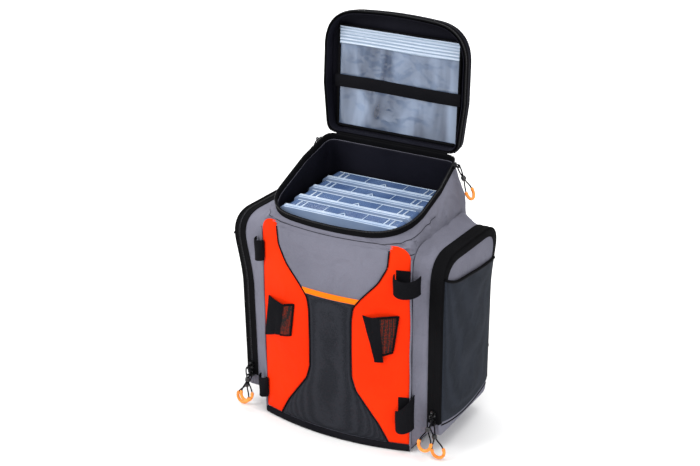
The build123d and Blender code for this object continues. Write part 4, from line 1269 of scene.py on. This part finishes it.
for name, side in (("left", -1), ("right", 1)):
    strap = shaped_sheet(f"padded_strap_{name}", 48, 80, strap_shape(side), joined=True, smooth=70)
    bpy.ops.object.mode_set(mode="EDIT")
    bpy.ops.mesh.select_all(action="DESELECT")
    bpy.ops.mesh.select_non_manifold()
    bpy.ops.mesh.fill()
    bpy.ops.mesh.select_all(action="SELECT")
    bpy.ops.mesh.normals_make_consistent(inside=False)
    bpy.ops.object.mode_set(mode="OBJECT")
    finish_piece(strap, spacer_mesh, "pack", "black_fabric", f"shoulder_strap_{name}")

buckle_plastic = bpy.data.materials.new("black_buckle_plastic")
buckle_plastic.use_nodes = True
buckle_nodes, buckle_links = buckle_plastic.node_tree.nodes, buckle_plastic.node_tree.links
buckle_shader = buckle_nodes["Principled BSDF"]
spark = buckle_nodes.new("ShaderNodeTexNoise")
spark.inputs["Scale"].default_value = 900.0
buckle_where = buckle_nodes.new("ShaderNodeTexCoord")
buckle_links.new(buckle_where.outputs["Object"], spark.inputs["Vector"])
buckle_bump = buckle_nodes.new("ShaderNodeBump")
buckle_bump.inputs["Distance"].default_value = 0.0002
buckle_bump.inputs["Strength"].default_value = 0.4
buckle_links.new(spark.outputs[0], buckle_bump.inputs["Height"])
buckle_links.new(buckle_bump.outputs["Normal"], buckle_shader.inputs["Normal"])
buckle_shader.inputs["Base Color"].default_value = (0.018, 0.018, 0.020, 1)
buckle_shader.inputs["Roughness"].default_value = 0.42
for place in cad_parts["ladder_locks"].material_slots:
    place.material = buckle_plastic


def strap_web(side):
    start = STRAP_TOP + STRAP_ALONG * (STRAP_LENGTH + 0.0325) + Vector((0, 0.034, 0))
    end = Vector((0.138, 0.1145, 0.034))
    run = end - start
    across = Vector((run.z, 0, -run.x)).normalized()

    def place(u, v):
        p = start + run * v + across * mix(-0.0122, 0.0122, u)
        p += Vector((0, -0.004 * sin(pi * v) + 0.0006 * sin(9 * v), 0))
        return Vector((side * p.x, max(p.y, 0.1132), p.z))

    return place


for name, side in (("left", -1), ("right", 1)):
    web = shaped_sheet(f"strap_webbing_{name}", 10, 50, strap_web(side), thick=0.0017, offset=0.0)
    finish_piece(web, webbing, "pack", "black_fabric", "lower_webbing")

# --- Grab handle ----------------------------------------------------------------------------------
# A loop of the same webbing, doubled and padded in the middle, is sewn across the back of the hood.


def handle_shape(u, v):
    plan = [Vector((-0.0535, 0.1085, 0)), Vector((-0.036, 0.144, 0)), Vector((0.036, 0.144, 0)), Vector((0.0535, 0.1085, 0))]
    p = bezier(plan, v)
    ahead = (bezier(plan, min(v + 0.01, 1)) - bezier(plan, max(v - 0.01, 0))).normalized()
    out = Vector((ahead.y, -ahead.x, 0))
    grip = exp(-(((v - 0.5) / 0.22) ** 4))
    c, s = cos(2 * pi * u), sin(2 * pi * u)
    tall = 0.0122 * abs(c) ** 0.4 * (1 if c > 0 else -1)
    thick = (0.0010 + 0.0014 * grip) * abs(s) ** 0.6 * (1 if s > 0 else -1)
    return p + out * thick + Vector((0, 0, 0.4405 + tall))


handle = shaped_sheet("webbing_handle", 28, 60, handle_shape, joined=True, smooth=70)
finish_piece(handle, webbing, "pack", "black_fabric", "grab_handle")

# --- Zip sliders and pullers ----------------------------------------------------------------------
# Cast sliders in black enamel run on the zips. Each has a holed tab with a short cord loop through it.
# A moulded bead gathers the cord, and a soft orange grip joins its two ends.

enamel = bpy.data.materials.new("black_slider_enamel")
enamel.use_nodes = True
enamel_nodes, enamel_links = enamel.node_tree.nodes, enamel.node_tree.links
enamel_shader = enamel_nodes["Principled BSDF"]
enamel_where = enamel_nodes.new("ShaderNodeTexCoord")
# Sparse pale specks on the black enamel are painted glints.
enamel_glint_specks = enamel_nodes.new("ShaderNodeTexNoise")
enamel_glint_specks.inputs["Scale"].default_value = 260.0
enamel_links.new(enamel_where.outputs["Object"], enamel_glint_specks.inputs["Vector"])
enamel_ramp = enamel_nodes.new("ShaderNodeValToRGB")
enamel_ramp.color_ramp.elements[0].position = 0.62
enamel_ramp.color_ramp.elements[0].color = (0.012, 0.012, 0.013, 1)
enamel_ramp.color_ramp.elements[1].position = 0.72
enamel_ramp.color_ramp.elements[1].color = (0.22, 0.22, 0.23, 1)
enamel_links.new(enamel_glint_specks.outputs[0], enamel_ramp.inputs["Fac"])
enamel_links.new(enamel_ramp.outputs["Color"], enamel_shader.inputs["Base Color"])
enamel_shader.inputs["Metallic"].default_value = 0.6
enamel_shader.inputs["Roughness"].default_value = 0.28


def moulded_material(name, color, dark, rough):
    material = bpy.data.materials.new(name)
    material.use_nodes = True
    nodes, links = material.node_tree.nodes, material.node_tree.links
    shader = nodes["Principled BSDF"]
    where = nodes.new("ShaderNodeTexCoord")
    flow = nodes.new("ShaderNodeTexNoise")
    flow.inputs["Scale"].default_value = 120.0
    links.new(where.outputs["Object"], flow.inputs["Vector"])
    tint = nodes.new("ShaderNodeValToRGB")
    tint.color_ramp.elements[0].position = 0.3
    tint.color_ramp.elements[0].color = (*dark, 1)
    tint.color_ramp.elements[1].position = 0.7
    tint.color_ramp.elements[1].color = (*color, 1)
    links.new(flow.outputs[0], tint.inputs["Fac"])
    links.new(tint.outputs["Color"], shader.inputs["Base Color"])
    skin = nodes.new("ShaderNodeBump")
    skin.inputs["Distance"].default_value = 0.0002
    skin.inputs["Strength"].default_value = 0.3
    links.new(flow.outputs[0], skin.inputs["Height"])
    links.new(skin.outputs["Normal"], shader.inputs["Normal"])
    shader.inputs["Roughness"].default_value = rough
    return material


grip_orange = moulded_material("orange_grip_rubber", (1.0, 0.34, 0.045), (0.95, 0.24, 0.02), 0.35)
bead_black = moulded_material("black_bead_plastic", (0.018, 0.018, 0.020), (0.010, 0.010, 0.011), 0.35)
braid = cloth_material("black_braided_cord", (0.010, 0.010, 0.012), (0.004, 0.004, 0.005), rough=0.7, threads=4200.0, bump=0.6, sheen=0.0)

LOOP = [(-0.0120, 0.0500), (-0.0105, 0.0420), (-0.0016, 0.0290), (-0.0016, 0.0190), (-0.0047, 0.0090), (-0.0042, 0.0)]
LOOP += [(-a, b) for a, b in reversed(LOOP)]
pullers = {}
for name, side in (("left", -1), ("right", 1)):
    pullers[f"{name}_upper"] = (Vector((side * 0.191, -0.113, 0.084)), Vector((1, 0, 0)), Vector((-side * sin(radians(4)), -sin(radians(16)), -cos(radians(16)))))
    pullers[f"{name}_lower"] = (Vector((side * 0.191, -0.1085, 0.066)), Vector((1, 0, 0)), Vector((side * sin(radians(17)), -sin(radians(3)), -cos(radians(17)))))
    run = Vector((side * 0.157991, -0.942256, -0.295285))
    pullers[f"lid_{name}"] = (Vector((side * 0.144343, 0.0776502, 0.485354)), run, Vector((side * 0.46, 0, -0.89)))

for name, (hinge, axis, down) in pullers.items():
    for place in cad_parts[f"slider_{name}"].material_slots:
        place.material = enamel
    down = down.normalized()
    across = (axis - down * axis.dot(down)).normalized()
    facing = across.cross(down)

    def at(a, b, c=0.0, hinge=hinge, across=across, down=down, facing=facing):
        return hinge + across * a + down * b + facing * c

    curve = bpy.data.curves.new(f"puller_loop_{name}", "CURVE")
    curve.dimensions = "3D"
    curve.bevel_depth = 0.0013
    curve.bevel_resolution = 3
    curve.resolution_u = 10
    curve.use_fill_caps = True
    spline = curve.splines.new("NURBS")
    spline.points.add(len(LOOP) - 1)
    for point, (a, b) in zip(spline.points, LOOP):
        point.co = (*at(a, b), 1)
    spline.order_u = 3
    spline.use_endpoint_u = True
    cord = bpy.data.objects.new(f"puller_loop_{name}", curve)
    bpy.context.collection.objects.link(cord)
    cord.data.materials.append(braid)
    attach(cord, f"puller_{name}")
    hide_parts(f"puller_cord_{name}")

    def grip_path(t, at=at):
        """Two short arms and the bow between them."""
        if t < 0.12:
            return at(-0.012, mix(0.0460, 0.0520, t / 0.12))
        if t > 0.88:
            return at(0.012, mix(0.0520, 0.0460, (t - 0.88) / 0.12))
        turn = pi * (t - 0.12) / 0.76
        return at(-0.012 * cos(turn), 0.0520 + 0.012 * sin(turn))

    def grip_radius(t):
        end = min(t, 1 - t)
        return 0.0029 * sqrt(max(0.0, 1 - (1 - min(end / 0.05, 1.0)) ** 2)) + 0.0005 * exp(-(((end - 0.09) / 0.03) ** 2))

    grip = tube(f"orange_grip_{name}", grip_path, grip_radius, 56, sides=12)
    finish_piece(grip, grip_orange, f"puller_{name}", "grip_orange", f"puller_grip_{name}")

    def bead_place(u, v, at=at):
        """A barrel with an oblong way through it for the two legs of the cord."""
        c, s = cos(2 * pi * u), sin(2 * pi * u)
        if v < 0.5:
            t = v / 0.5
            swell = 0.0036 + 0.0010 * sin(pi * t) ** 0.5
            return at(swell * c, mix(0.0200, 0.0280, t), swell * s)
        t = (v - 0.5) / 0.5
        return at(0.0033 * abs(c) ** 0.7 * (1 if c > 0 else -1), mix(0.0280, 0.0200, t), 0.0015 * s)

    bead = shaped_sheet(f"cord_bead_{name}", 24, 16, bead_place, joined=True, smooth=45)
    finish_piece(bead, bead_black, f"puller_{name}", "black_plastic")
    at(*LOOP[0])
